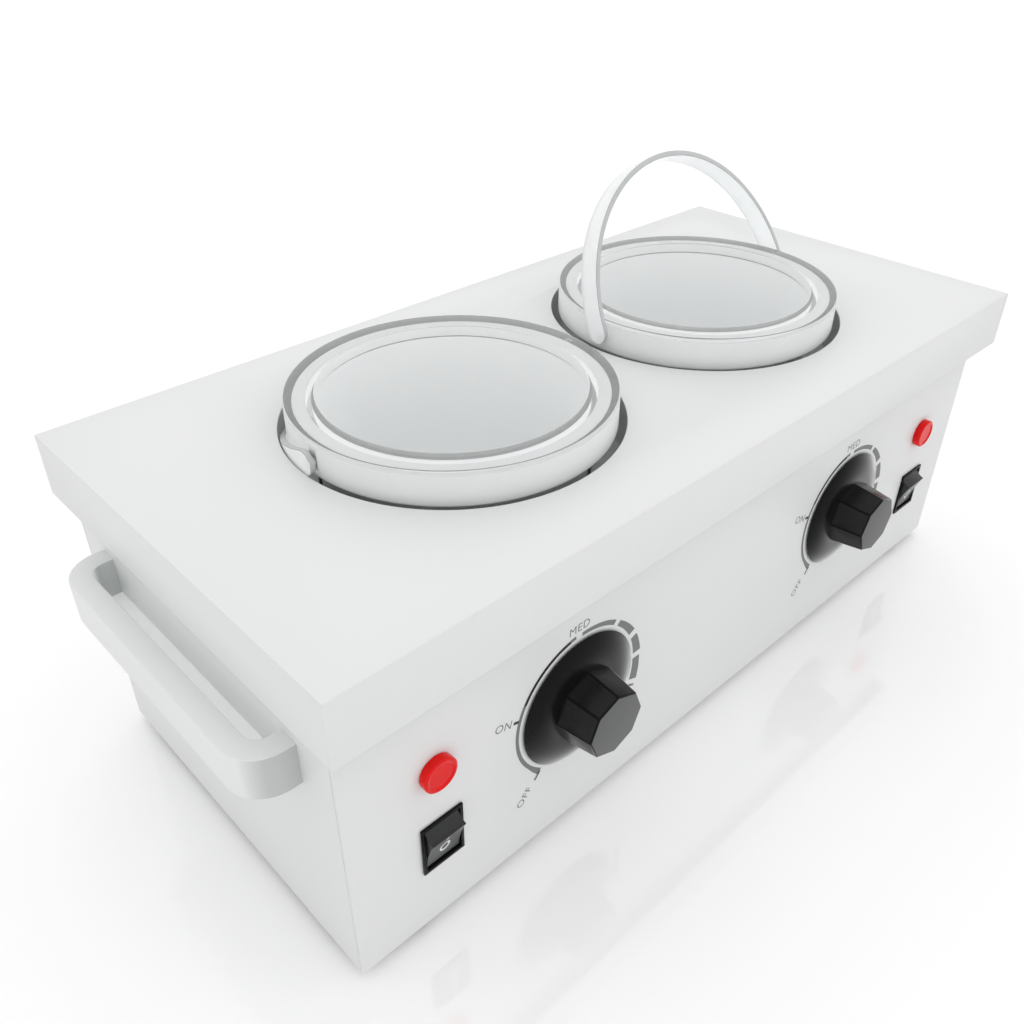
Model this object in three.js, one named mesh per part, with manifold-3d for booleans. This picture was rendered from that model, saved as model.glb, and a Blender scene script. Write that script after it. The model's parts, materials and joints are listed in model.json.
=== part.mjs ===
// A double wax warmer: a sheet metal case with two heated wells, two lift-out pots with swinging bails,
// and on its front a thermostat knob, a lamp and a rocker switch for each well.
// Millimetres, +X along the case, -Y is the control front, +Z up, z = 0 is the table.
import * as THREE from "three";
import { mergeVertices } from "three/addons/utils/BufferGeometryUtils.js";
import Module from "manifold-3d";

const wasm = await Module();
wasm.setup();

// Clearances
const seatGap = 0.2; // between a piece and the face it rests on
const runGap = 0.3; // round a pin, shaft or sleeve
const cutMargin = 1; // how far a cutting tool runs past the face it cuts

// Sheet metal of the case
const bodySheet = 1.2;
const coverSheet = 1.2;
const coverSkirt = 23.5;
const coverEndOverhang = 4.25;
const coverSideOverhang = 8.15;
const topFlangeWidth = 9.5;
const baseFlangeWidth = 14;
const cornerFlangeWidth = 12;
const endBay = 43.25; // from a well's flange to the end of the case
const underWellRoom = 48.3;

// Feet and screws under the case
const footHeight = 3;
const footRadius = 6;
const footStemRadius = 2.2;
const footBarb = 0.8;
const footInset = 24;
const baseScrewInset = 44;
const baseScrewRadius = 1.5;
const baseScrewHeadRadius = 2.9;
const baseScrewHead = 1.4;
const baseScrewLength = 7;
const ventWidth = 3;
const ventLength = 30;
const ventPitch = 8;
const ventCount = 7;

// Pots: a thin can held in a hollow moulded collar
const canInnerRadius = 47;
const canWall = 0.8;
const canHeight = 82.4;
const canCornerRadius = 4;
const collarLip = 0.3; // how far the mouth stands inside the can's bore
const collarLipDepth = 4.1;
const collarMouthRound = 0.5;
const collarInnerWall = 1.9;
const collarBreadth = 9.6; // from the can's outside to the collar's outside
const collarOuterWall = 3;
const collarTopWall = 4.1;
const collarRise = 11.4; // above the cover
const collarSink = 1.5; // of its walls into the cover's hole
const collarChamferWidth = 0.5;
const collarChamferDrop = 1.7;

// Bails: a flat strap bent to a half circle, with a pin inside each end
const bailWidth = 8.9;
const bailThickness = 2;
const bailTip = 2; // from the pivot to the strap's rounded end
const bailPinRadius = 1.6;
const bailPinReach = 1.9; // inside the collar's outer wall
const bailPivotRise = 5.5; // above the collar's underside
const bailFoldDegrees = 20; // below level, where the folded strap meets the well's shoulder
const leftBailLeanDegrees = 90 + bailFoldDegrees;
const rightBailLeanDegrees = 27.5;

// Wells: a wide mouth for the collar and the folded bail, and a narrow bore for the can
const holeClearance = 0.25;
const wellMouthRelief = 1;
const wellWall = 1.5;
const wellFlangeWidth = 2.6;
const wellBoreClearance = 0.9;
const wellSpread = 3; // between the two wells' flanges
const wellFlangeClearance = 0.9; // to the case's top flange
const potSetBack = 0.8; // of the wells behind the case's middle

// Heaters
const bandThickness = 2;
const bandRise = 10; // above the well's underside
const bandRoom = 7; // below the well's shoulder
const bandGap = 8;
const bandEarLength = 9;
const bandEarThickness = 2;
const cutoutRadius = 8;
const cutoutHeight = 6;
const cutoutTabLength = 7;
const cutoutTabWidth = 5.4;
const cutoutTabThickness = 2;

// Controls on the front: knobs stand outboard of their pots, lamps and switches in from the case's ends,
// and all of them up from the case's lower edge
const knobOffset = 14.6;
const knobRise = 56;
const leftLampInset = 33.05;
const rightLampInset = 31.25;
const lampRise = 68.7;
const leftSwitchInset = 33.9;
const rightSwitchInset = 29.15;
const switchRise = 36.6;

// Knob: a thin round skirt under an eight-sided grip
const skirtRadius = 25.8;
const skirtLift = 0.6;
const skirtEdge = 0.9;
const skirtCrown = 2.6;
const gripBaseRadius = 14.7;
const gripFrontRadius = 12.45;
const gripFacets = 8;
const gripChamfer = 0.5;
const knobReach = 17.3;
const knobFaceThickness = 4;
const spindleRadius = 3;
const spindleFlat = 1;

// Thermostat behind each knob
const thermostatWidth = 30;
const thermostatHeight = 32;
const thermostatDepth = 15;
const thermostatCap = 3;
const thermostatTab = 5;
const bushRadius = 4.8;
const bushReach = 2.6;
const bushNutFlat = 14;
const bushNutHeight = 2;

// Lamps
const lensRadius = 6.3;
const lensReach = 3.3;
const lensRimWidth = 1.6;
const lensRimDrop = 0.9;
const lensWall = 1.1;
const lampStemLength = 22;
const lampClip = 1.4;
const lampClipHeight = 1.2;

// Rocker switches
const bezelWidth = 16.5;
const bezelHeight = 21.15;
const bezelThickness = 0.8;
const bezelSideFrame = 1.3;
const bezelEndFrame = 1.35;
const switchWall = 0.6;
const switchDepth = 20;
const switchTab = 6;
const rockerPivotDepth = 3;
const rockerBack = 1.2; // behind the pivot
const rockerRidgeReach = 4.3; // out of the front wall
const rockerEndReach = 0.3; // of both ends
const rockerHollow = 0.8;
const rockerPinRadius = 1;

// Handles on the ends: a shallow tray of white plastic, open on top
const handleDrop = 13.5; // below the cover's skirt
const handleHeight = 15.8;
const handleReach = 16.55;
const handleHalfSpan = 60.2;
const handleRim = 7.7;
const handleFloor = 1.4;
const handleCornerRadius = 13;
const handleScrewRadius = 1.9;
const handleScrewHeadRadius = 3.6;
const handleScrewHead = 1.8;
const handleScrewCover = 1.8; // plastic left beyond the end of a screw hole

// Cover studs and nuts
const studRadius = 1.5;
const studLength = 8;
const studInset = 26;
const nutFlat = 5.5;
const nutHeight = 2.4;

// Cable gland on the back
const glandRise = 22;
const glandReach = 17.3;
const glandFlangeRadius = 10;
const glandFlange = 4;
const glandDomeRadius = 8.6;
const glandThreadRadius = 7.8;
const glandThreadLength = 9;
const glandBoreRadius = 3.8;
const glandWall = 1.2;
const glandNutFlat = 20;
const glandNutHeight = 4;

// Terminal block and leads
const blockWidth = 42;
const blockDepth = 18;
const blockHeight = 12;
const blockBarrier = 3;
const blockWays = 4;
const blockY = 40;
const leadRadius = 1.2;
const leadBend = 9;
const leadSteps = 26;
const leadFacets = 8;

// Facets
const roundFacets = 48;
const smallFacets = 16;
const screwFacets = 10;
const archFacets = 32;
const cornerFacets = 6;

// Radii that follow from the can outwards
const canRadius = canInnerRadius + canWall;
const collarMouthRadius = canInnerRadius - collarLip;
const collarRadius = canRadius + collarBreadth;
const collarReachFromPivot = Math.max(
  collarRise - collarChamferDrop + collarSink - bailPivotRise,
  bailPivotRise,
);
const bailInnerRadius = Math.hypot(collarRadius, collarReachFromPivot) + runGap;
const bailRadius = bailInnerRadius + bailThickness;
const coverHoleRadius = Math.hypot(bailRadius, bailWidth / 2) + holeClearance;
const wellMouthRadius = coverHoleRadius + wellMouthRelief;
const wellFlangeRadius = wellMouthRadius + wellWall + wellFlangeWidth;
const wellBoreRadius = canRadius + wellBoreClearance;

// Case sizes that follow from the wells
const potX = wellFlangeRadius + wellSpread / 2;
const bodyHalfLength = potX + wellFlangeRadius + endBay;
const bodyHalfDepth = wellFlangeRadius + potSetBack + wellFlangeClearance + topFlangeWidth;
const coverHalfLength = bodyHalfLength + coverEndOverhang;
const coverHalfDepth = bodyHalfDepth + coverSideOverhang;
const frontY = -bodyHalfDepth;
const knobX = potX + knobOffset;
const knobBoreDepth = knobReach - knobFaceThickness;
const potY = potSetBack;

// Heights from the table up
const caseBottom = footHeight;
const baseUnderside = caseBottom + bodySheet + seatGap;
const baseTop = baseUnderside + bodySheet;
const wellUnderside = baseTop + underWellRoom;
const canBottom = wellUnderside + wellWall + seatGap;
const canRim = canBottom + canHeight;
const collarTop = canRim + collarLipDepth + runGap;
const coverTop = collarTop - collarRise;
const coverUnderside = coverTop - coverSheet;
const caseTop = coverUnderside - seatGap;
const collarBottom = coverTop - collarSink;
const pivotZ = collarBottom + bailPivotRise;
const skirtBottom = coverTop - coverSkirt;
const handleTop = skirtBottom - handleDrop;
const foldAngle = THREE.MathUtils.degToRad(bailFoldDegrees);
const foldedReach = bailRadius * Math.sin(foldAngle) + (bailWidth / 2) * Math.cos(foldAngle);
const shoulderZ = pivotZ - foldedReach - seatGap;

// Finishes, one per kind of surface
const whitePaint = { color: 0xe8e9e9, roughness: 0.45, metalness: 0 };
const whitePlastic = { color: 0xe4e5e5, roughness: 0.5, metalness: 0 };
const clearPlastic = { color: 0xe6e8e8, roughness: 0.25, metalness: 0 };
const canMetal = { color: 0xc9cdd0, roughness: 0.4, metalness: 0.9 };
const wellMetal = { color: 0x8d9091, roughness: 0.45, metalness: 0.6 };
const blackPlastic = { color: 0x1a1a1b, roughness: 0.2, metalness: 0 };
const redLens = { color: 0xd81414, roughness: 0.15, metalness: 0 };
const zincSteel = { color: 0xb4b7b9, roughness: 0.35, metalness: 1 };
const heaterSteel = { color: 0x9b9c98, roughness: 0.5, metalness: 0.8 };
const greyRubber = { color: 0x3a3b3c, roughness: 0.8, metalness: 0 };
const creamCeramic = { color: 0xd9d2c0, roughness: 0.6, metalness: 0 };
const whiteSleeve = { color: 0xd8d6d0, roughness: 0.6, metalness: 0 };

const X = new THREE.Vector3(1, 0, 0);
const Y = new THREE.Vector3(0, 1, 0);
const Z = new THREE.Vector3(0, 0, 1);
const sides = [
  {
    name: "left",
    sign: -1,
    lampX: leftLampInset - bodyHalfLength,
    switchX: leftSwitchInset - bodyHalfLength,
    leanDegrees: leftBailLeanDegrees,
  },
  {
    name: "right",
    sign: 1,
    lampX: bodyHalfLength - rightLampInset,
    switchX: bodyHalfLength - rightSwitchInset,
    leanDegrees: rightBailLeanDegrees,
  },
];

const model = new THREE.Group();
model.position.y = (knobReach - glandReach) / 2; // keeps the origin under the middle of the whole object

// Turns a closed geometry into a solid that can be joined and cut
function solid(geometry) {
  const bare = geometry.index ? geometry.clone() : geometry;
  bare.deleteAttribute("normal");
  bare.deleteAttribute("uv");
  const merged = mergeVertices(bare);
  const index = merged.index.array;
  const triangles = [];
  for (let i = 0; i < index.length; i += 3) {
    const [a, b, c] = [index[i], index[i + 1], index[i + 2]];
    if (a !== b && b !== c && c !== a) {
      triangles.push(a, b, c);
    }
  }
  return new wasm.Manifold(
    new wasm.Mesh({
      numProp: 3,
      vertProperties: new Float32Array(merged.attributes.position.array),
      triVerts: new Uint32Array(triangles),
    }),
  );
}

function joined(...shapes) {
  return shapes.map(solid).reduce((whole, next) => whole.add(next));
}

function cut(whole, ...tools) {
  return tools.map(solid).reduce((rest, tool) => rest.subtract(tool), whole);
}

// Adds one named piece to the model
function piece(name, shape, finish, parent = model) {
  const { vertProperties, triVerts } = shape.getMesh();
  const geometry = new THREE.BufferGeometry();
  geometry.setAttribute("position", new THREE.BufferAttribute(vertProperties, 3));
  geometry.setIndex(new THREE.BufferAttribute(triVerts, 1));
  geometry.computeVertexNormals();
  const mesh = new THREE.Mesh(geometry, new THREE.MeshStandardMaterial(finish));
  mesh.name = name;
  parent.add(mesh);
  return mesh;
}

function box([x0, x1], [y0, y1], [z0, z1]) {
  const block = new THREE.BoxGeometry(x1 - x0, y1 - y0, z1 - z0);
  return block.translate((x0 + x1) / 2, (y0 + y1) / 2, (z0 + z1) / 2);
}

// A round bar from one height to another along +Z
function post(radius, z0, z1, facets = smallFacets) {
  const bar = new THREE.CylinderGeometry(radius, radius, z1 - z0, facets);
  return bar.rotateX(Math.PI / 2).translate(0, 0, (z0 + z1) / 2);
}

// A round bar along +X
function axle(radius, x0, x1, facets = smallFacets) {
  return post(radius, x0, x1, facets).rotateY(Math.PI / 2);
}

// A round bar along Y, measured outwards from the face it stands on, towards -Y
function stub(radius, out0, out1, facets = smallFacets) {
  return post(radius, out0, out1, facets).rotateX(Math.PI / 2);
}

// A body of revolution about +Z, from [radius, height] points that run up the outside
function turned(profile, facets = roundFacets) {
  const points = profile.map(([radius, height]) => new THREE.Vector2(radius, height));
  return new THREE.LatheGeometry(points, facets).rotateX(Math.PI / 2);
}

// The same, standing out of a face towards -Y
function turnedOut(profile, facets = roundFacets) {
  return turned(profile, facets).rotateX(Math.PI / 2);
}

// A hexagon standing along +Z, given the size across its flats
function hexagon(flat, z0, z1) {
  return post(flat / Math.sqrt(3), z0, z1, 6);
}

// A flat shape drawn as (y, z), run along X between two places
function runAlongX(shape, x0, x1) {
  const settings = { depth: x1 - x0, bevelEnabled: false, curveSegments: cornerFacets };
  const bar = new THREE.ExtrudeGeometry(shape, settings);
  return bar.applyMatrix4(new THREE.Matrix4().makeBasis(Y, Z, X)).translate(x0, 0, 0);
}

// A flat shape drawn as (x, y), run up Z between two heights
function runUp(shape, z0, z1) {
  const settings = { depth: z1 - z0, bevelEnabled: false, curveSegments: cornerFacets };
  const bar = new THREE.ExtrudeGeometry(shape, settings);
  return bar.translate(0, 0, z0);
}

const footPlaces = placesNearCorners(footInset);
const baseScrewPlaces = placesNearCorners(baseScrewInset);
const studX = bodyHalfLength - studInset;
const studY = bodyHalfDepth - (topFlangeWidth + bodySheet) / 2;
const studPlaces = [
  [-studX, -studY],
  [studX, -studY],
  [-studX, studY],
  [studX, studY],
];

// Four places on the lower flanges, one near each corner of the case
function placesNearCorners(inset) {
  const y = bodyHalfDepth - bodySheet - (baseFlangeWidth - bodySheet) / 2;
  const x = bodyHalfLength - inset;
  return [
    [-x, -y],
    [x, -y],
    [-x, y],
    [x, y],
  ];
}

// A long wall with a flange turned in along its top and its bottom
function longPanel(side) {
  const innerX = bodyHalfLength - bodySheet - seatGap;
  const wallY = span(side * bodyHalfDepth, side * (bodyHalfDepth - bodySheet));
  const topY = span(side * bodyHalfDepth, side * (bodyHalfDepth - topFlangeWidth));
  const baseY = span(side * bodyHalfDepth, side * (bodyHalfDepth - baseFlangeWidth));
  const sheet = joined(
    box([-bodyHalfLength, bodyHalfLength], wallY, [caseBottom, caseTop]),
    box([-innerX, innerX], topY, [caseTop - bodySheet, caseTop]),
    box([-innerX, innerX], baseY, [caseBottom, caseBottom + bodySheet]),
  );
  const holes = (places, radius, bottom) =>
    places
      .filter(([, y]) => Math.sign(y) === side)
      .map(([x, y]) => drill(radius, x, y, bottom, bottom + bodySheet));
  return cut(
    sheet,
    ...holes(studPlaces, studRadius, caseTop - bodySheet),
    ...holes(footPlaces, footStemRadius, caseBottom),
    ...holes(baseScrewPlaces, baseScrewRadius, caseBottom),
  );
}

// Two ends of a stretch, the lower one first
function span(a, b) {
  return [Math.min(a, b), Math.max(a, b)];
}

// The hole that a bar of the given radius needs, through a sheet between two heights
function drill(radius, x, y, z0, z1) {
  return post(radius + runGap, z0 - cutMargin, z1 + cutMargin).translate(x, y, 0);
}

function makeFrontPanel() {
  const through = [-bodySheet - cutMargin, cutMargin];
  const switchHalfWidth = bezelWidth / 2 - bezelSideFrame + switchWall + runGap;
  const switchHalfHeight = bezelHeight / 2 - bezelEndFrame + switchWall + runGap;
  const roundHole = (radius, x, z) => stub(radius + runGap, ...through).translate(x, frontY, z);
  const cutouts = [
    ...sides.map(({ sign }) => roundHole(bushRadius, sign * knobX, knobZ())),
    ...sides.map(({ lampX }) => roundHole(lampStemRadius(), lampX, lampZ())),
    ...sides.map(({ switchX }) =>
      box(
        [switchX - switchHalfWidth, switchX + switchHalfWidth],
        [frontY - cutMargin, frontY + bodySheet + cutMargin],
        [switchZ() - switchHalfHeight, switchZ() + switchHalfHeight],
      ),
    ),
  ];
  piece("front_panel", cut(longPanel(-1), ...cutouts), whitePaint);
}

function lampStemRadius() {
  return lensRadius - lensWall - runGap;
}

function knobZ() {
  return caseBottom + knobRise;
}

function lampZ() {
  return caseBottom + lampRise;
}

function switchZ() {
  return caseBottom + switchRise;
}

function makeRearPanel() {
  const hole = stub(glandThreadRadius + runGap, -cutMargin, bodySheet + cutMargin);
  hole.translate(0, bodyHalfDepth, caseBottom + glandRise);
  piece("rear_panel", cut(longPanel(1), hole), whitePaint);
}

// An end wall with a flange turned in against each long wall
function makeEndPanel({ name, sign }) {
  const wallX = span(sign * bodyHalfLength, sign * (bodyHalfLength - bodySheet));
  const flangeX = span(sign * bodyHalfLength, sign * (bodyHalfLength - cornerFlangeWidth));
  const halfDepth = bodyHalfDepth - bodySheet - seatGap;
  const flangeZ = [baseTop + seatGap, caseTop - bodySheet - seatGap];
  const sheet = joined(
    box(wallX, [-halfDepth, halfDepth], [caseBottom, caseTop]),
    box(flangeX, [-halfDepth, bodySheet - halfDepth], flangeZ),
    box(flangeX, [halfDepth - bodySheet, halfDepth], flangeZ),
  );
  const holes = handleScrewPlaces().map(([y, z]) =>
    axle(handleScrewRadius + runGap, wallX[0] - cutMargin, wallX[1] + cutMargin).translate(0, y, z),
  );
  piece(`${name}_end_panel`, cut(sheet, ...holes), whitePaint);
}

function makeBasePlate() {
  const halfLength = bodyHalfLength - bodySheet - runGap;
  const halfDepth = bodyHalfDepth - bodySheet - runGap;
  const plate = joined(box([-halfLength, halfLength], [-halfDepth, halfDepth], [baseUnderside, baseTop]));
  const holes = [
    ...footPlaces.map(([x, y]) => drill(footStemRadius, x, y, baseUnderside, baseTop)),
    ...baseScrewPlaces.map(([x, y]) => drill(baseScrewRadius, x, y, baseUnderside, baseTop)),
  ];
  const vents = [];
  for (const { sign } of sides) {
    for (let i = 0; i < ventCount; i += 1) {
      const x = sign * potX + (i - (ventCount - 1) / 2) * ventPitch;
      vents.push(
        box(
          [x - ventWidth / 2, x + ventWidth / 2],
          [-ventLength / 2, ventLength / 2],
          [baseUnderside - cutMargin, baseTop + cutMargin],
        ),
      );
    }
  }
  piece("base_plate", cut(plate, ...holes, ...vents), zincSteel);
}

// The cover: a tray turned upside down, with a round hole over each well and studs on its underside
function makeCover() {
  const tray = joined(
    box([-coverHalfLength, coverHalfLength], [-coverHalfDepth, coverHalfDepth], [skirtBottom, coverTop]),
  );
  const innerX = coverHalfLength - coverSheet;
  const innerY = coverHalfDepth - coverSheet;
  const hollow = box([-innerX, innerX], [-innerY, innerY], [skirtBottom - cutMargin, coverUnderside]);
  const holes = sides.map(({ sign }) =>
    post(coverHoleRadius, skirtBottom, coverTop + cutMargin, roundFacets).translate(sign * potX, potY, 0),
  );
  const studs = studPlaces.map(([x, y]) =>
    post(studRadius, coverUnderside - studLength, coverTop - coverSheet / 2, screwFacets).translate(x, y, 0),
  );
  const cover = studs.map(solid).reduce((whole, stud) => whole.add(stud), cut(tray, hollow, ...holes));
  piece("top_cover", cover, whitePaint);
}

function makeCoverNuts() {
  const top = caseTop - bodySheet - seatGap;
  studPlaces.forEach(([x, y], i) => {
    const blank = joined(hexagon(nutFlat, top - nutHeight, top));
    const nut = cut(blank, drill(studRadius, 0, 0, top - nutHeight, top));
    piece(`cover_nut_${i + 1}`, nut, zincSteel).position.set(x, y, 0);
  });
}

// Soft push-in feet: a pad, a stem through both sheets and a barb above them
function makeFeet() {
  const barbZ = baseTop + seatGap;
  const stemTop = barbZ + 2 * footBarb;
  const foot = turned(
    [
      [0, 0],
      [footRadius - footBarb, 0],
      [footRadius, footHeight / 2],
      [footRadius, footHeight - seatGap],
      [footStemRadius, footHeight - seatGap],
      [footStemRadius, barbZ],
      [footStemRadius + footBarb, barbZ],
      [footStemRadius, stemTop],
      [0, stemTop],
    ],
    smallFacets,
  );
  footPlaces.forEach(([x, y], i) => {
    piece(`foot_${i + 1}`, joined(foot), greyRubber).position.set(x, y, 0);
  });
}

// Pan-head screws that hold the base plate to the lower flanges
function makeBaseScrews() {
  const headTop = caseBottom - seatGap;
  const screw = joined(
    post(baseScrewHeadRadius, headTop - baseScrewHead, headTop, screwFacets),
    post(baseScrewRadius, headTop - baseScrewHead / 2, headTop + baseScrewLength, screwFacets),
  );
  baseScrewPlaces.forEach(([x, y], i) => {
    piece(`base_screw_${i + 1}`, screw, zincSteel).position.set(x, y, 0);
  });
}

function handleScrewPlaces() {
  const y = handleHalfSpan - handleRim / 2;
  const z = handleTop - handleHeight / 2;
  return [
    [potY - y, z],
    [potY + y, z],
  ];
}

// How deep a screw can go into a handle's arm before it nears the rounded corner
function handleScrewReach() {
  const holeEdge = handleCornerRadius - handleRim / 2 + handleScrewRadius + runGap;
  const cornerDepth = Math.sqrt(Math.max(handleCornerRadius ** 2 - holeEdge ** 2, 0));
  return handleReach - handleCornerRadius + cornerDepth - handleScrewCover;
}

// The plan of a handle that stands out of the end wall by the given reach
function handlePlan(reach, halfSpan, cornerRadius, start) {
  const plan = new THREE.Shape();
  plan.moveTo(start, -halfSpan);
  plan.lineTo(reach - cornerRadius, -halfSpan);
  plan.absarc(reach - cornerRadius, -halfSpan + cornerRadius, cornerRadius, -Math.PI / 2, 0, false);
  plan.absarc(reach - cornerRadius, halfSpan - cornerRadius, cornerRadius, 0, Math.PI / 2, false);
  plan.lineTo(start, halfSpan);
  return plan;
}

function makeHandle({ name, sign }) {
  const bottom = handleTop - handleHeight;
  const outerPlan = handlePlan(handleReach, handleHalfSpan, handleCornerRadius, seatGap);
  const outline = runUp(outerPlan, bottom, handleTop);
  const pocketPlan = handlePlan(
    handleReach - handleRim,
    handleHalfSpan - handleRim,
    handleCornerRadius - handleRim,
    -cutMargin,
  );
  const pocket = runUp(pocketPlan, bottom + handleFloor, handleTop + cutMargin);
  const screwHoles = handleScrewPlaces().map(([y, z]) =>
    axle(handleScrewRadius + runGap, 0, handleScrewReach() + seatGap).translate(0, y - potY, z),
  );
  const handle = piece(`handle_${name}`, cut(joined(outline), pocket, ...screwHoles), whitePlastic);
  handle.position.set(sign * bodyHalfLength, potY, 0);
  handle.rotation.z = sign < 0 ? Math.PI : 0;
}

function makeHandleScrews({ name, sign }) {
  const inside = bodySheet + seatGap;
  const screw = joined(
    axle(handleScrewHeadRadius, -inside - handleScrewHead, -inside, screwFacets),
    axle(handleScrewRadius, -inside - handleScrewHead / 2, handleScrewReach() - seatGap, screwFacets),
  );
  handleScrewPlaces().forEach(([y, z], i) => {
    const mesh = piece(`handle_screw_${name}_${i + 1}`, screw, zincSteel);
    mesh.position.set(sign * bodyHalfLength, y, z);
    mesh.rotation.z = sign < 0 ? Math.PI : 0;
  });
}

function makeWell({ name, sign }) {
  const well = turned([
    [0, wellUnderside],
    [wellBoreRadius + wellWall, wellUnderside],
    [wellBoreRadius + wellWall, shoulderZ - wellWall],
    [wellMouthRadius + wellWall, shoulderZ - wellWall],
    [wellMouthRadius + wellWall, caseTop - wellWall],
    [wellFlangeRadius, caseTop - wellWall],
    [wellFlangeRadius, caseTop],
    [wellMouthRadius, caseTop],
    [wellMouthRadius, shoulderZ],
    [wellBoreRadius, shoulderZ],
    [wellBoreRadius, wellUnderside + wellWall],
    [0, wellUnderside + wellWall],
  ]);
  piece(`heating_well_${name}`, joined(well), wellMetal).position.set(sign * potX, potY, 0);
}

// A flat heater band round the well's bore, split at the back, where two ears take its clamp
function makeHeaterBand({ name, sign }) {
  const inner = wellBoreRadius + wellWall + seatGap;
  const outer = inner + bandThickness;
  const z0 = wellUnderside + bandRise;
  const z1 = shoulderZ - wellWall - bandRoom;
  const ring = turned([
    [inner, z0],
    [outer, z0],
    [outer, z1],
    [inner, z1],
    [inner, z0],
  ]);
  const split = box([-bandGap / 2, bandGap / 2], [0, outer + cutMargin], [z0 - cutMargin, z1 + cutMargin]);
  const ears = [-1, 1].map((side) => {
    const x = span((side * bandGap) / 2, side * (bandGap / 2 + bandEarThickness));
    return solid(box(x, [outer - bandThickness / 2, outer + bandEarLength], [z0, z1]));
  });
  const band = ears.reduce((whole, ear) => whole.add(ear), cut(joined(ring), split));
  piece(`heater_band_${name}`, band, heaterSteel).position.set(sign * potX, potY, 0);
}

// A thermal cut-out disc under the well's floor, with a tab on each side
function makeThermalCutout({ name, sign }) {
  const top = wellUnderside - seatGap;
  const bottom = top - cutoutHeight;
  const halfTab = cutoutRadius + cutoutTabLength;
  const tabY = [-cutoutTabWidth / 2, cutoutTabWidth / 2];
  const tab = box([-halfTab, halfTab], tabY, [bottom, bottom + cutoutTabThickness]);
  const cutoutShape = joined(post(cutoutRadius, bottom, top), tab);
  piece(`thermal_cutout_${name}`, cutoutShape, creamCeramic).position.set(sign * potX, potY, 0);
}

function makeCan(name, parent) {
  const innerCorner = canCornerRadius - canWall;
  const can = turned([
    [0, canBottom],
    ...cornerArc(canRadius, canBottom, canCornerRadius, 4),
    [canRadius, canRim],
    [canInnerRadius, canRim],
    ...cornerArc(canInnerRadius, canBottom + canWall, innerCorner, 4).reverse(),
    [0, canBottom + canWall],
  ]);
  piece(`pot_can_${name}`, joined(can), canMetal, parent);
}

// Points of a quarter circle from a floor up into a wall
function cornerArc(radius, floor, corner, steps) {
  const points = [];
  for (let i = 0; i <= steps; i += 1) {
    const angle = (i / steps - 1) * (Math.PI / 2);
    points.push([radius - corner + corner * Math.cos(angle), floor + corner + corner * Math.sin(angle)]);
  }
  return points;
}

// The collar is a hollow ring, open below, whose lip hangs over the can's rim
function makeCollar(name, parent) {
  const sleeveRadius = canRadius + runGap;
  const lipBottom = canRim + runGap;
  const ring = turned([
    [sleeveRadius, collarBottom],
    [sleeveRadius + collarInnerWall, collarBottom],
    [sleeveRadius + collarInnerWall, collarTop - collarTopWall],
    [collarRadius - collarOuterWall, collarTop - collarTopWall],
    [collarRadius - collarOuterWall, collarBottom],
    [collarRadius, collarBottom],
    [collarRadius, collarTop - collarChamferDrop],
    [collarRadius - collarChamferWidth, collarTop],
    [collarMouthRadius + collarMouthRound, collarTop],
    [collarMouthRadius, collarTop - collarMouthRound],
    [collarMouthRadius, lipBottom],
    [sleeveRadius, lipBottom],
    [sleeveRadius, collarBottom],
  ]);
  const pinHoles = [-1, 1].map((side) => {
    const x = span(side * (collarRadius - collarOuterWall - cutMargin), side * (collarRadius + cutMargin));
    return axle(bailPinRadius + runGap, ...x).translate(0, 0, pivotZ);
  });
  piece(`pot_collar_${name}`, cut(joined(ring), ...pinHoles), clearPlastic, parent);
}

// The bail stands upright about its pivots, then leans back by the given angle
function makeBail(name, leanDegrees, parent) {
  const tipAngle = Math.asin(bailTip / bailRadius);
  const arch = new THREE.Shape();
  arch.absarc(0, 0, bailRadius, -tipAngle, Math.PI + tipAngle, false);
  arch.absarc(0, 0, bailInnerRadius, Math.PI + tipAngle, -tipAngle, true);
  const settings = { depth: bailWidth, bevelEnabled: false, curveSegments: archFacets };
  const strap = new THREE.ExtrudeGeometry(arch, settings);
  strap.applyMatrix4(new THREE.Matrix4().makeBasis(X, Z, Y.clone().negate()));
  strap.translate(0, bailWidth / 2, 0);
  const halfWidth = bailWidth / 2;
  const above = bailRadius + cutMargin;
  const sideView = new THREE.Shape();
  sideView.moveTo(-halfWidth, above);
  sideView.lineTo(-halfWidth, halfWidth - bailTip);
  sideView.absarc(0, halfWidth - bailTip, halfWidth, Math.PI, 2 * Math.PI, false);
  sideView.lineTo(halfWidth, above);
  const rounded = solid(strap).intersect(solid(runAlongX(sideView, -above, above)));
  const pins = [-1, 1].map((side) => {
    const innerEnd = collarRadius - collarOuterWall - bailPinReach;
    const x = span(side * innerEnd, side * (bailInnerRadius + bailThickness / 2));
    return solid(axle(bailPinRadius, ...x));
  });
  const bail = piece(`bail_${name}`, rounded.add(pins[0]).add(pins[1]), clearPlastic, parent);
  bail.position.z = pivotZ;
  bail.rotation.x = -THREE.MathUtils.degToRad(leanDegrees);
}

function makePot({ name, sign, leanDegrees }) {
  const pot = new THREE.Group();
  pot.position.set(sign * potX, potY, 0);
  makeCan(name, pot);
  makeCollar(name, pot);
  makeBail(name, leanDegrees, pot);
  model.add(pot);
}

// The round bar with one flat that joins a thermostat to its knob
function flattedBar(radius, flatDepth, out0, out1) {
  const bar = solid(stub(radius, out0, out1));
  const flat = box(
    [radius - flatDepth, radius + cutMargin],
    [-out1 - cutMargin, cutMargin - out0],
    [-radius, radius],
  );
  return bar.subtract(solid(flat));
}

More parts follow.
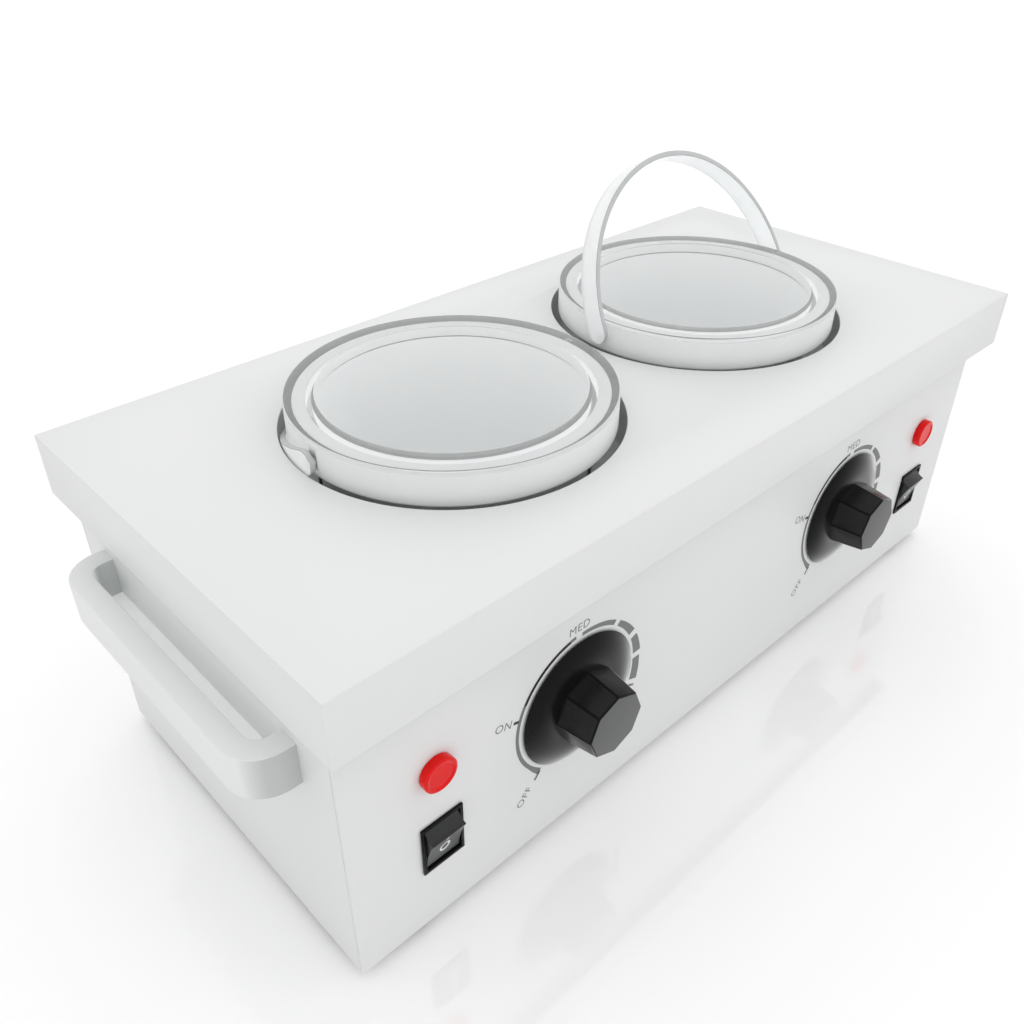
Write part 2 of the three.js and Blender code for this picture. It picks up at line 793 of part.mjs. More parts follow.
function makeKnob({ name, sign }) {
  const skirtTop = skirtLift + skirtEdge;
  const crownTop = skirtTop + skirtCrown;
  const skirt = turnedOut([
    [0, skirtLift],
    [skirtRadius, skirtLift],
    [skirtRadius, skirtTop],
    ...crownArc(skirtRadius, gripBaseRadius, skirtTop, crownTop, 4),
    [0, crownTop],
  ]);
  const grip = turnedOut(
    [
      [0, skirtTop],
      [gripBaseRadius, skirtTop],
      [gripFrontRadius, knobReach - gripChamfer],
      [gripFrontRadius - gripChamfer, knobReach],
      [0, knobReach],
    ],
    gripFacets,
  );
  const nutRecess = stub(bushNutFlat / Math.sqrt(3) + cutMargin, 0, bushReach + 2 * runGap);
  const bore = flattedBar(spindleRadius + runGap, spindleFlat, 0, knobBoreDepth + runGap);
  const knob = cut(joined(skirt, grip), nutRecess).subtract(bore);
  piece(`knob_${name}`, knob, blackPlastic).position.set(sign * knobX, frontY, knobZ());
}

// Points of a gentle rise from a skirt's edge to the foot of its grip
function crownArc(outer, inner, low, high, steps) {
  const points = [];
  for (let i = 1; i <= steps; i += 1) {
    const angle = (i / steps) * (Math.PI / 2);
    points.push([outer - (outer - inner) * (1 - Math.cos(angle)), low + (high - low) * Math.sin(angle)]);
  }
  return points;
}

function makeSpindle({ name, sign }) {
  const innerEnd = -bodySheet - seatGap - thermostatCap;
  const spindle = flattedBar(spindleRadius, spindleFlat, innerEnd, knobBoreDepth);
  piece(`knob_spindle_${name}`, spindle, zincSteel).position.set(sign * knobX, frontY, knobZ());
}

// The thermostat's box hangs from its threaded bush, which passes through the front wall
function makeThermostat({ name, sign }) {
  const face = -bodySheet - seatGap;
  const halfWidth = thermostatWidth / 2;
  const halfHeight = thermostatHeight / 2;
  const back = face - thermostatDepth;
  const shell = joined(
    box([-halfWidth, halfWidth], [-face, -back], [-halfHeight, halfHeight]),
    stub(bushRadius, face - thermostatCap / 2, bushReach),
    ...[-1, 1].map((side) =>
      box(
        [(side * halfWidth) / 2 - leadRadius, (side * halfWidth) / 2 + leadRadius],
        [-back - thermostatCap / 2, -back + thermostatTab],
        [-leadRadius / 2, leadRadius / 2],
      ),
    ),
  );
  const bore = stub(spindleRadius + runGap, face - thermostatCap - runGap, bushReach + cutMargin);
  piece(`thermostat_${name}`, cut(shell, bore), wellMetal).position.set(
    sign * knobX,
    frontY,
    knobZ(),
  );
}

function makeThermostatNut({ name, sign }) {
  const nut = cut(
    joined(hexagon(bushNutFlat, seatGap, seatGap + bushNutHeight).rotateX(Math.PI / 2)),
    stub(bushRadius + seatGap, -cutMargin, bushReach + cutMargin),
  );
  piece(`thermostat_nut_${name}`, nut, zincSteel).position.set(sign * knobX, frontY, knobZ());
}

// The lens is a round cap with a bevelled rim, hollow behind
function makeLamp({ name, lampX }) {
  const hollowRadius = lampStemRadius() + runGap;
  const hollowTop = lensReach - lensWall;
  const lens = turnedOut(
    [
      [hollowRadius, seatGap],
      [lensRadius, seatGap],
      [lensRadius, lensReach - lensRimDrop],
      [lensRadius - lensRimWidth, lensReach],
      [0, lensReach],
      [0, hollowTop],
      [hollowRadius, hollowTop],
      [hollowRadius, seatGap],
    ],
    smallFacets,
  );
  piece(`lamp_lens_${name}`, joined(lens), redLens).position.set(lampX, frontY, lampZ());
  const clipTop = -bodySheet - seatGap;
  const stemRadius = lampStemRadius();
  const stem = turnedOut(
    [
      [0, -lampStemLength],
      [stemRadius, -lampStemLength],
      [stemRadius, clipTop - lampClipHeight],
      [stemRadius + lampClip, clipTop - lampClipHeight],
      [stemRadius + lampClip, clipTop],
      [stemRadius, clipTop],
      [stemRadius, hollowTop - runGap],
      [0, hollowTop - runGap],
    ],
    smallFacets,
  );
  piece(`lamp_body_${name}`, joined(stem), whitePlastic).position.set(lampX, frontY, lampZ());
}

// The switch's box with its bezel, a pocket for the rocker, pivot holes and two tabs
function makeSwitchBody({ name, switchX }) {
  const innerHalfWidth = bezelWidth / 2 - bezelSideFrame;
  const innerHalfHeight = bezelHeight / 2 - bezelEndFrame;
  const halfWidth = innerHalfWidth + switchWall;
  const halfHeight = innerHalfHeight + switchWall;
  const bezelFront = -seatGap - bezelThickness;
  const shell = joined(
    box([-bezelWidth / 2, bezelWidth / 2], [bezelFront, -seatGap], [-bezelHeight / 2, bezelHeight / 2]),
    box([-halfWidth, halfWidth], [-seatGap - bezelThickness / 2, switchDepth], [-halfHeight, halfHeight]),
    ...[-1, 1].map((side) =>
      box(
        [-leadRadius, leadRadius],
        [switchDepth - switchWall, switchDepth + switchTab],
        [side * switchTabRise() - leadRadius / 2, side * switchTabRise() + leadRadius / 2],
      ),
    ),
  );
  const pocket = box(
    [-innerHalfWidth, innerHalfWidth],
    [-bezelThickness - cutMargin, rockerPivotDepth + rockerEndRadius() + runGap],
    [-innerHalfHeight, innerHalfHeight],
  );
  const pivotHole = axle(rockerPinRadius + runGap, -bezelWidth / 2, bezelWidth / 2);
  pivotHole.translate(0, rockerPivotDepth, 0);
  const body = piece(`switch_body_${name}`, cut(shell, pocket, pivotHole), blackPlastic);
  body.position.set(switchX, frontY, switchZ());
}

// The rocker, drawn about its pivot: its ends are arcs, and two hollow faces meet in a ridge
function makeRocker({ name, switchX }) {
  const halfWidth = bezelWidth / 2 - bezelSideFrame - runGap;
  const pinEnd = halfWidth + runGap + switchWall - seatGap;
  const radius = rockerEndRadius();
  const turnTo = (y) => Math.acos(y / radius);
  const ridgeY = -(rockerPivotDepth + rockerRidgeReach);
  const ridgeZ = radius * Math.sin(turnTo(ridgeY));
  const endY = -(rockerPivotDepth + rockerEndReach);
  const endZ = radius * Math.sin(turnTo(endY));
  const middleY = (ridgeY + endY) / 2;
  const outline = new THREE.Shape();
  outline.absarc(0, 0, radius, turnTo(rockerBack), turnTo(endY), false);
  outline.quadraticCurveTo(middleY + rockerHollow, (endZ + ridgeZ) / 2 - rockerHollow, ridgeY, ridgeZ);
  outline.quadraticCurveTo(middleY + 2 * rockerHollow, (ridgeZ - endZ) / 2, endY, -endZ);
  outline.absarc(0, 0, radius, -turnTo(endY), -turnTo(rockerBack), false);
  const bar = runAlongX(outline, -halfWidth, halfWidth);
  const shape = joined(bar, axle(rockerPinRadius, -pinEnd, pinEnd, screwFacets));
  const rocker = piece(`rocker_${name}`, shape, blackPlastic);
  rocker.position.set(switchX, frontY + rockerPivotDepth, switchZ());
}

function rockerEndRadius() {
  return bezelHeight / 2 - bezelEndFrame - runGap;
}

// Cable gland: a flanged, domed bush that passes through the rear wall, with a nut inside
function makeGland() {
  const domeChamfer = glandDomeRadius - glandThreadRadius + glandWall;
  const gland = turnedOut(
    [
      [glandBoreRadius, -glandThreadLength],
      [glandThreadRadius, -glandThreadLength],
      [glandThreadRadius, seatGap],
      [glandFlangeRadius, seatGap],
      [glandFlangeRadius, glandFlange],
      [glandDomeRadius, glandFlange],
      [glandDomeRadius, glandReach - domeChamfer],
      [glandDomeRadius - domeChamfer, glandReach],
      [glandBoreRadius, glandReach],
      [glandBoreRadius, -glandThreadLength],
    ],
    smallFacets,
  );
  const nutFace = -bodySheet - seatGap;
  const nut = cut(
    joined(hexagon(glandNutFlat, nutFace - glandNutHeight, nutFace).rotateX(Math.PI / 2)),
    stub(glandThreadRadius + seatGap, nutFace - glandNutHeight - cutMargin, nutFace + cutMargin),
  );
  const bush = piece("cable_gland", joined(gland), blackPlastic);
  const lockNut = piece("gland_nut", nut, blackPlastic);
  for (const mesh of [bush, lockNut]) {
    mesh.position.set(0, bodyHalfDepth, caseBottom + glandRise);
    mesh.rotation.z = Math.PI;
  }
}

// A block on the base plate with a raised barrier between its ways
function makeTerminalBlock() {
  const z0 = baseTop + seatGap;
  const z1 = z0 + blockHeight;
  const pitch = (blockWidth - blockBarrier) / blockWays;
  const depth = [-blockDepth / 2, blockDepth / 2];
  const barriers = [];
  for (let i = 0; i <= blockWays; i += 1) {
    const x = -blockWidth / 2 + i * pitch;
    barriers.push(box([x, x + blockBarrier], depth, [z0, z1]));
  }
  const floor = box([-blockWidth / 2, blockWidth / 2], depth, [z0, blockWayTop()]);
  piece("terminal_block", joined(floor, ...barriers), creamCeramic).position.y = blockY;
}

function blockWayTop() {
  return baseTop + seatGap + blockHeight - blockBarrier;
}

// A round sleeved wire along a smooth curve through the given points
function lead(name, points) {
  const path = new THREE.CatmullRomCurve3(points.map(([x, y, z]) => new THREE.Vector3(x, y, z)));
  const section = new THREE.Shape();
  section.absarc(0, 0, leadRadius, 0, 2 * Math.PI, false);
  const wire = new THREE.ExtrudeGeometry(section, {
    steps: leadSteps,
    curveSegments: leadFacets / 2,
    extrudePath: path,
    bevelEnabled: false,
  });
  piece(name, joined(wire), whiteSleeve);
}

// From an outer way of the terminal block along the base, up to the switch's lower tab
function makeSwitchLead({ name, sign, switchX }) {
  const pitch = (blockWidth - blockBarrier) / blockWays;
  const wayX = sign * (blockWays / 2 - 0.5) * pitch;
  const wayZ = blockWayTop() + seatGap;
  const tabY = frontY + switchDepth + switchTab / 2;
  const endZ = switchZ() - switchTabRise() - leadRadius / 2 - seatGap;
  const lowZ = blockWayTop() + leadBend;
  lead(`switch_lead_${name}`, [
    [wayX, blockY, wayZ],
    [wayX + sign * leadRadius, blockY, lowZ],
    [wayX + sign * 2 * leadBend, blockY - leadBend, lowZ],
    [switchX - sign * leadBend, blockY - 3 * leadBend, lowZ - leadBend],
    [switchX, tabY + leadBend, lowZ - leadBend],
    [switchX, tabY, lowZ],
    [switchX, tabY, endZ],
  ]);
}

function switchTabRise() {
  return (bezelHeight / 2 - bezelEndFrame + switchWall) / 2;
}

// From the cut-out under the well to the outer tab of the thermostat, from below
function makeHeaterLead({ name, sign }) {
  const cutoutTabX = sign * (potX + cutoutRadius + cutoutTabLength + seatGap);
  const cutoutTabZ = wellUnderside - seatGap - (cutoutHeight * 5) / 6;
  const tabX = sign * (knobX + thermostatWidth / 4);
  const tabY = frontY + bodySheet + seatGap + thermostatDepth + thermostatTab / 2;
  const endZ = knobZ() - leadRadius / 2 - seatGap;
  lead(`heater_lead_${name}`, [
    [cutoutTabX, potY, cutoutTabZ],
    [cutoutTabX + sign * leadBend, potY, cutoutTabZ],
    [tabX + sign * leadBend, potY - 2 * leadBend, cutoutTabZ],
    [tabX, tabY + leadBend, cutoutTabZ - leadBend / 2],
    [tabX, tabY, cutoutTabZ],
    [tabX, tabY, endZ],
  ]);
}

for (const side of sides) {
  makeEndPanel(side);
  makeHandle(side);
  makeHandleScrews(side);
  makeWell(side);
  makeHeaterBand(side);
  makeThermalCutout(side);
  makePot(side);
  makeKnob(side);
  makeSpindle(side);
  makeThermostat(side);
  makeThermostatNut(side);
  makeLamp(side);
  makeSwitchBody(side);
  makeRocker(side);
  makeSwitchLead(side);
  makeHeaterLead(side);
}
makeFrontPanel();
makeRearPanel();
makeBasePlate();
makeCover();
makeCoverNuts();
makeFeet();
makeBaseScrews();
makeGland();
makeTerminalBlock();

export default model;
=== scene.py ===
import json
import math

import bmesh
import bpy
from mathutils import Matrix, Vector


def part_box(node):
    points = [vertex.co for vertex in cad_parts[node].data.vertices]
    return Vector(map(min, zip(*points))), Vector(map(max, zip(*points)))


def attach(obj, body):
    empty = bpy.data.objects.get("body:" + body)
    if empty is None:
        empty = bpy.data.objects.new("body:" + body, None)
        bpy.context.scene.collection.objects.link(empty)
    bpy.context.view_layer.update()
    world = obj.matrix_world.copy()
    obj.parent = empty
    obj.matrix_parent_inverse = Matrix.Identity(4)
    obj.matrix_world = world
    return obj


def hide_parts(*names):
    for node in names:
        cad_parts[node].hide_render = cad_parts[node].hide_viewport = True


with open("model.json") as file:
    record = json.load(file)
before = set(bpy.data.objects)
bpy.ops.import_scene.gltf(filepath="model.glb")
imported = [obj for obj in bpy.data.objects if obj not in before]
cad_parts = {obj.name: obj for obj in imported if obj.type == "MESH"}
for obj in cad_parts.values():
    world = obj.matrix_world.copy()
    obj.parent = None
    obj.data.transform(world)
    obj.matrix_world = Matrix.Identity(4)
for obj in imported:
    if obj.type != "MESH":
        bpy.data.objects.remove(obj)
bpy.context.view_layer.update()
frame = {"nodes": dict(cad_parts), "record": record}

# Double wax warmer: smooth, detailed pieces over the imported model, its finishes, floor, light and camera.
# Everything is in metres, in the model's own frame: +X along the case, -Y the control side, +Z up.

mm = 0.001
far = 1.0        # metres, past any piece
scene = bpy.context.scene
sides = ("left", "right")
rounds = {"large": 160, "gland": 96, "lens": 72, "small": 64, "pin": 32, "screw": 24, "rib": 16}    # facets


# Shader maths

def connect(tree, socket, value):
    # joins an output to the socket, or sets the socket to a plain value
    if isinstance(value, Value):
        value = value.link
    if isinstance(value, bpy.types.NodeSocket):
        tree.links.new(value, socket)
    else:
        socket.default_value = value


class Value:
    # wraps a node's output so that plain sums in Python add Math nodes
    def __init__(self, tree, link):
        self.tree = tree
        self.link = link

    def maths(self, operation, *others, clamp=False):
        node = self.tree.nodes.new("ShaderNodeMath")
        node.operation = operation
        node.use_clamp = clamp
        for socket, value in zip(node.inputs, (self, *others)):
            connect(self.tree, socket, value)
        return Value(self.tree, node.outputs[0])

    def __add__(self, other):
        return self.maths("ADD", other)

    __radd__ = __add__

    def __mul__(self, other):
        return self.maths("MULTIPLY", other)

    __rmul__ = __mul__

    def clamped(self):
        return self.maths("ADD", 0.0, clamp=True)


class Finish:
    # the nodes of one material, or of the world where it is given, with a method that makes any node
    def __init__(self, name, world=None):
        self.owner = world or bpy.data.materials.new(name)
        self.owner.use_nodes = True
        self.tree = self.owner.node_tree
        self.tree.nodes.clear()

    def node(self, kind, settings=None, **inputs):
        # each input is named by its socket's name, or by i and the socket's place, such as i1
        node = self.tree.nodes.new(kind)
        for key, value in (settings or {}).items():
            setattr(node, key, value)
        for key, value in inputs.items():
            place = int(key[1:]) if key[1:].isdigit() else key.replace("_", " ")
            connect(self.tree, node.inputs[place], value)
        return node

    def value(self, kind, settings=None, out=0, **inputs):
        return Value(self.tree, self.node(kind, settings, **inputs).outputs[out])

    def place(self, stretch=(1, 1, 1)):
        # the surface's own place in the model's frame, in metres
        here = self.node("ShaderNodeTexCoord").outputs["Object"]
        if stretch == (1, 1, 1):
            return here
        return self.node("ShaderNodeMapping", Vector=here, Scale=stretch).outputs[0]

    def noise(self, scale, detail, roughness=0.5, stretch=(1, 1, 1)):
        return self.value("ShaderNodeTexNoise", Vector=self.place(stretch), Scale=scale, Detail=detail,
                          Roughness=roughness)

    def blendColours(self, factor, first, second):
        # a Mix node takes its colours in sockets 6 and 7 and gives the blend from output 2
        ends = [(*colour, 1) if isinstance(colour, tuple) else colour for colour in (first, second)]
        return self.node("ShaderNodeMix", {"data_type": "RGBA"}, i0=factor, i6=ends[0], i7=ends[1]).outputs[2]

    def bump(self, height, look):
        return self.node("ShaderNodeBump", Height=height, Distance=look["depth"],
                         Strength=look["strength"]).outputs[0]

    def principled(self, **inputs):
        return self.node("ShaderNodeBsdfPrincipled", **inputs)

    def mixed(self, share, first, second):
        # a share of 0 gives the first shader, and 1 the second
        return self.node("ShaderNodeMixShader", Fac=share, i1=first.outputs[0], i2=second.outputs[0])

    def finish(self, shader):
        self.node("ShaderNodeOutputMaterial", Surface=shader.outputs[0])
        return self.owner

    def surface(self, **inputs):
        return self.finish(self.principled(**inputs))


# Finishes. A look's cloud and grain are noises: scale, detail and, where it isn't 0.5, roughness.

def dimmed(colour, share):
    return tuple(part * share for part in colour)


def clouded(name, **look):
    # colour and roughness wander with the cloud, and the bump takes the grain where the look has one
    finish = Finish(name)
    cloud = finish.noise(*look["cloud"])
    grain = finish.noise(*look["grain"]) if "grain" in look else cloud
    colour = finish.blendColours(cloud, look["base"], look["cloudy"])
    inputs = {"Base_Color": colour, "Roughness": cloud * look["vary"] + look["roughness"]}
    for key in ("IOR", "Metallic"):
        if key in look:
            inputs[key] = look[key]
    if "glow" in look:
        inputs.update(Emission_Color=colour, Emission_Strength=look["glow"])
    if "depth" in look:
        inputs["Normal"] = finish.bump(grain, look)
    return finish.surface(**inputs)


def whitePaint():
    return clouded("whitePaint", base=(0.775, 0.780, 0.780), cloudy=(0.752, 0.758, 0.758), cloud=(9, 4),
                   grain=(1900, 2), vary=0.10, roughness=0.36, IOR=1.45, depth=0.000015, strength=0.25)


def whitePlastic(name, brightness, glow, frontShadeShare):
    # glow is painted light, an emission that stands for light coming through a thin wall; the last argument
    # is a share of painted shade, a grey laid on the faces that look to the front (-Y)
    look = {"red": 0.993, "shade": 0.97, "cloud": (28, 3), "grain": (4200, 2), "vary": 0.08,
            "roughness": 0.42, "frontShade": (0.36, 0.385, 0.382), "from": -0.5, "rise": 2.6, "depth": 0.00002,
            "strength": 0.2}
    light = (brightness * look["red"], brightness, brightness)
    finish = Finish(name)
    cloud = finish.noise(*look["cloud"])
    grain = finish.noise(*look["grain"])
    normal = finish.node("ShaderNodeNewGeometry").outputs["Normal"]
    turn = finish.value("ShaderNodeSeparateXYZ", out=1, Vector=normal)
    # painted shade: faces turned to the front (-Y) are blended towards a grey
    frontShade = (turn * -look["rise"] + look["from"] * look["rise"]).clamped()
    white = finish.blendColours(cloud, light, dimmed(light, look["shade"]))
    colour = finish.blendColours(frontShade * frontShadeShare, white, look["frontShade"])
    return finish.surface(Base_Color=colour, Roughness=cloud * look["vary"] + look["roughness"], IOR=1.46,
                          Emission_Color=colour, Emission_Strength=glow, Normal=finish.bump(grain, look))


def frostedPlastic(name, milk, roughness, glow):
    # milk is the share of milky plastic, and glow is painted light, an emission that stands for the light
    # that it scatters on
    look = {"base": (0.955, 0.965, 0.965), "cloudy": (0.925, 0.94, 0.945), "cloud": (60, 4),
            "grain": (5200, 2), "vary": 0.05, "milkyVary": 0.10, "milkyRoughness": 0.28, "IOR": 1.49,
            "depth": 0.00002, "strength": 0.2}
    finish = Finish(name)
    cloud = finish.noise(*look["cloud"])
    grain = finish.noise(*look["grain"])
    colour = finish.blendColours(cloud, look["base"], look["cloudy"])
    bump = finish.bump(grain, look)
    clear = finish.principled(Base_Color=colour, Roughness=cloud * look["vary"] + roughness, IOR=look["IOR"],
                              Transmission_Weight=1.0, Normal=bump)
    milky = finish.principled(Base_Color=colour, Roughness=cloud * look["milkyVary"] + look["milkyRoughness"],
                              IOR=look["IOR"], Emission_Color=colour, Emission_Strength=glow, Normal=bump)
    return finish.finish(finish.mixed(milk, clear, milky))


# painted light: the collar's inner white faces glow a little to lighten them
def frostedInside():
    return clouded("frostedInside", base=(0.95, 0.955, 0.955), cloudy=(0.92, 0.93, 0.93), cloud=(80, 4),
                   vary=0.1, roughness=0.5, IOR=1.3, glow=0.2)


def frostedShade(name, light):
    # painted shade: a plain grey that stands for the darker look of the plastic seen edge on
    return clouded(name, base=light, cloudy=dimmed(light, 0.86), cloud=(70, 3), vary=0.1, roughness=0.5,
                   IOR=1.3)


def twoSided(name, outside, inside):
    # painted shade: milky from outside, and a darker grey where the face is seen from within, through the
    # clear plastic
    look = {"cloud": (70, 3), "shade": 0.95, "vary": 0.1, "roughness": 0.34, "IOR": 1.4}
    finish = Finish(name)
    cloud = finish.noise(*look["cloud"])
    layers = []
    for light in (outside, inside):
        colour = finish.blendColours(cloud, light, dimmed(light, look["shade"]))
        layers.append(finish.principled(Base_Color=colour, IOR=look["IOR"],
                                        Roughness=cloud * look["vary"] + look["roughness"]))
    fromWithin = finish.node("ShaderNodeNewGeometry").outputs["Backfacing"]
    return finish.finish(finish.mixed(fromWithin, *layers))


def canAluminium(name, bright, metallic, roughness):
    look = {"cloud": (34, 5, 0.6), "etch": (2600, 3, 0.7), "cloudShare": 0.6, "etchShare": 0.4, "dull": 0.965,
            "vary": 0.14, "depth": 0.00003, "strength": 0.35}
    finish = Finish(name)
    cloud = finish.noise(*look["cloud"])
    etch = finish.noise(*look["etch"])
    mask = (cloud * look["cloudShare"] + etch * look["etchShare"]).clamped()
    colour = finish.blendColours(mask, bright, dimmed(bright, look["dull"]))
    return finish.surface(Base_Color=colour, Metallic=metallic, Roughness=etch * look["vary"] + roughness,
                          Normal=finish.bump(etch, look))


def wellCoating():
    return clouded("wellCoating", base=(0.62, 0.63, 0.63), cloudy=(0.70, 0.71, 0.71), cloud=(45, 4),
                   grain=(1500, 2), vary=0.2, roughness=0.38, Metallic=0.3, depth=0.00003, strength=0.3)


def glossyBlack(name, ior, sheen):
    # sheen adds a bright gleam where the surface turns away, as on a polished dome
    look = {"base": (0.0040, 0.0042, 0.0043), "rubbed": (0.0060, 0.0062, 0.0065), "cloud": (55, 5, 0.6),
            "vary": 0.08, "roughness": 0.20, "depth": 0.00002, "strength": 0.12, "sheenPower": 6.8,
            "sheenColour": (0.92, 0.93, 0.93, 1)}
    finish = Finish(name)
    handled = finish.noise(*look["cloud"])
    bump = finish.bump(handled, look)
    roughness = handled * look["vary"] + look["roughness"]
    base = finish.principled(IOR=ior, Roughness=roughness, Normal=bump,
                             Base_Color=finish.blendColours(handled, look["base"], look["rubbed"]))
    if not sheen:
        return finish.finish(base)
    turnedAway = finish.value("ShaderNodeLayerWeight", out=1, Blend=0.5)
    share = (turnedAway.maths("POWER", look["sheenPower"]) * sheen).clamped()
    gleam = finish.node("ShaderNodeBsdfAnisotropic", Color=look["sheenColour"], Roughness=roughness,
                        Normal=bump)
    return finish.finish(finish.mixed(share, base, gleam))


def satinBlack():
    return clouded("satinBlack", base=(0.090, 0.093, 0.092), cloudy=(0.112, 0.115, 0.114),
                   cloud=(3000, 3, 0.7), vary=0.12, roughness=0.42, IOR=1.5, depth=0.00004, strength=0.4)


def switchBlack(name, base, worn):
    return clouded(name, base=base, cloudy=worn, cloud=(140, 4), grain=(3800, 1), vary=0.16, roughness=0.26,
                   IOR=1.5, depth=0.00005, strength=0.45)


def redLens():
    return clouded("redLens", base=(0.58, 0.0012, 0.0012), cloudy=(0.72, 0.0035, 0.0035), cloud=(160, 3),
                   vary=0.06, roughness=0.10, IOR=1.28, glow=0.15, depth=0.00004, strength=0.15)


def zincSteel():
    look = {"bright": (0.52, 0.54, 0.56), "dull": (0.36, 0.375, 0.39), "flake": 240.0, "cloud": (90, 3),
            "flakeShare": 0.7, "cloudShare": 0.4, "vary": 0.2, "roughness": 0.28}
    finish = Finish("zincSteel")
    flake = finish.value("ShaderNodeTexVoronoi", Vector=finish.place(), Scale=look["flake"])
    mask = (flake * look["flakeShare"] + finish.noise(*look["cloud"]) * look["cloudShare"]).clamped()
    return finish.surface(Base_Color=finish.blendColours(mask, look["bright"], look["dull"]), Metallic=1.0,
                          Roughness=mask * look["vary"] + look["roughness"])


def heaterSheet():
    look = {"base": (0.40, 0.40, 0.385), "heated": (0.30, 0.27, 0.22), "cloud": (30, 4), "lines": (300, 2),
            "stretch": (1, 1, 9), "vary": 0.2, "roughness": 0.35, "depth": 0.00002, "strength": 0.3}
    finish = Finish("heaterSheet")
    lines = finish.noise(*look["lines"], stretch=look["stretch"])
    colour = finish.blendColours(finish.noise(*look["cloud"]), look["base"], look["heated"])
    return finish.surface(Base_Color=colour, Metallic=0.9, Roughness=lines * look["vary"] + look["roughness"],
                          Normal=finish.bump(lines, look))


def footRubber():
    return clouded("footRubber", base=(0.035, 0.036, 0.037), cloudy=(0.075, 0.075, 0.072), cloud=(260, 5),
                   vary=0.2, roughness=0.68, depth=0.00006, strength=0.4)


def creamCeramic():
    return clouded("creamCeramic", base=(0.70, 0.65, 0.53), cloudy=(0.60, 0.54, 0.42), cloud=(120, 5),
                   vary=0.2, roughness=0.55, depth=0.00005, strength=0.4)


def wovenSleeve():
    look = {"thread": (0.72, 0.70, 0.65), "gap": (0.46, 0.44, 0.40), "weave": 700.0, "wander": 1.5,
            "roughness": 0.7, "depth": 0.0001, "strength": 0.5}
    finish = Finish("wovenSleeve")
    weave = finish.value("ShaderNodeTexWave", {"bands_direction": "DIAGONAL"}, out=1, Vector=finish.place(),
                         Scale=look["weave"], Distortion=look["wander"])
    return finish.surface(Base_Color=finish.blendColours(weave, look["gap"], look["thread"]),
                          Roughness=look["roughness"], Normal=finish.bump(weave, look))


def printedInk(name, colour, worn):
    return clouded(name, base=colour, cloudy=worn, cloud=(2400, 2), vary=0.1, roughness=0.42)


finishes = {
    "white_paint": whitePaint(),
    # the handles' white plastic carries painted shade: its faces that look to the front are blended towards
    # grey
    "white_plastic": whitePlastic("whitePlastic", brightness=0.82, glow=0.0, frontShadeShare=0.60),
    "frosted_plastic": frostedPlastic("frostedPlastic", milk=0.18, roughness=0.03, glow=0.0),
    "can_metal": canAluminium("canAluminium", (0.965, 0.975, 0.975), metallic=0.35, roughness=0.42),
    "well_metal": wellCoating(),
    "black_plastic": glossyBlack("glossyBlack", ior=1.18, sheen=2.5),
    "red_lens": redLens(),
    "zinc_steel": zincSteel(),
    "heater_steel": heaterSheet(),
    "foot_rubber": footRubber(),
    "cream_ceramic": creamCeramic(),
    "lead_sleeve": wovenSleeve(),
}
# painted light: the strap glows a little, and its inner face, which lies in shade, glows much more to lighten
# it
strapFinish = frostedPlastic("strapPlastic", milk=0.72, roughness=0.02, glow=0.02)
strapInGlowFinish = frostedPlastic("strapInsideGlow", milk=0.72, roughness=0.02, glow=0.34)
# painted shade: plain greys for the strap's cut sides and bevelled edges and for the collar's rim
strapCutShadeFinish = frostedShade("strapCut", (0.60, 0.615, 0.615))
edgeShadeFinish = frostedShade("frostedEdgeShade", (0.22, 0.23, 0.23))
rimShadeFinish = frostedShade("frostedRimShade", (0.29, 0.30, 0.30))
# painted shade: the collar's outer wall and mouth are a darker grey where seen from within
sideFinish = twoSided("frostedSide", (0.86, 0.87, 0.87), (0.43, 0.44, 0.44))
mouthFinish = twoSided("frostedMouth", (0.93, 0.935, 0.935), (0.48, 0.49, 0.49))
# painted shade: a plain grey for the underside of the collar's lip
shadedFinish = frostedShade("frostedShade", (0.40, 0.41, 0.41))
insideFinish = frostedInside()
canOutsideFinish = canAluminium("canOutside", (0.74, 0.755, 0.76), metallic=0.9, roughness=0.30)
satinFinish = satinBlack()
facetFinish = glossyBlack("facetBlack", ior=1.32, sheen=0.0)
bezelFinish = glossyBlack("bezelBlack", ior=1.18, sheen=0.0)
# painted light and shade: the handles' pockets get a lighter copy of the white plastic that glows, to lighten
# their shaded hollows, and their faces that look to the front take more painted grey
pocketLightAndShadeFinish = whitePlastic("pocketPaintedLightAndShade", brightness=0.90, glow=0.19, frontShadeShare=0.90)
switchFinish = switchBlack("switchBlack", (0.0050, 0.0056, 0.0056), (0.012, 0.0135, 0.0135))
lowFaceFinish = switchBlack("rockerFace", (0.050, 0.052, 0.052), (0.062, 0.064, 0.064))
greyInk = printedInk("greyInk", (0.155, 0.162, 0.160), (0.185, 0.190, 0.188))
blackInk = printedInk("blackInk", (0.006, 0.006, 0.006), (0.016, 0.016, 0.016))
whiteInk = printedInk("whiteInk", (0.86, 0.87, 0.87), (0.78, 0.79, 0.79))
print("finishes made")


# Mesh making. A part is a pair of lists, vertices and faces.

def inMetres(sizes):
    return {key: value * mm for key, value in sizes.items()}


def meshOf(name, part, weldWithin=None):
    mesh = bpy.data.meshes.new(name)
    mesh.from_pydata([tuple(v) for v in part[0]], [], part[1])
    built = bmesh.new()
    built.from_mesh(mesh)
    if weldWithin:
        bmesh.ops.remove_doubles(built, verts=built.verts, dist=weldWithin)
    bmesh.ops.recalc_face_normals(built, faces=built.faces)
    built.to_mesh(mesh)
    built.free()
    return mesh


def partOf(mesh):
    return [v.co.copy() for v in mesh.vertices], [tuple(p.vertices) for p in mesh.polygons]


def linked(name, data):
    made = bpy.data.objects.new(name, data)
    scene.collection.objects.link(made)
    return made


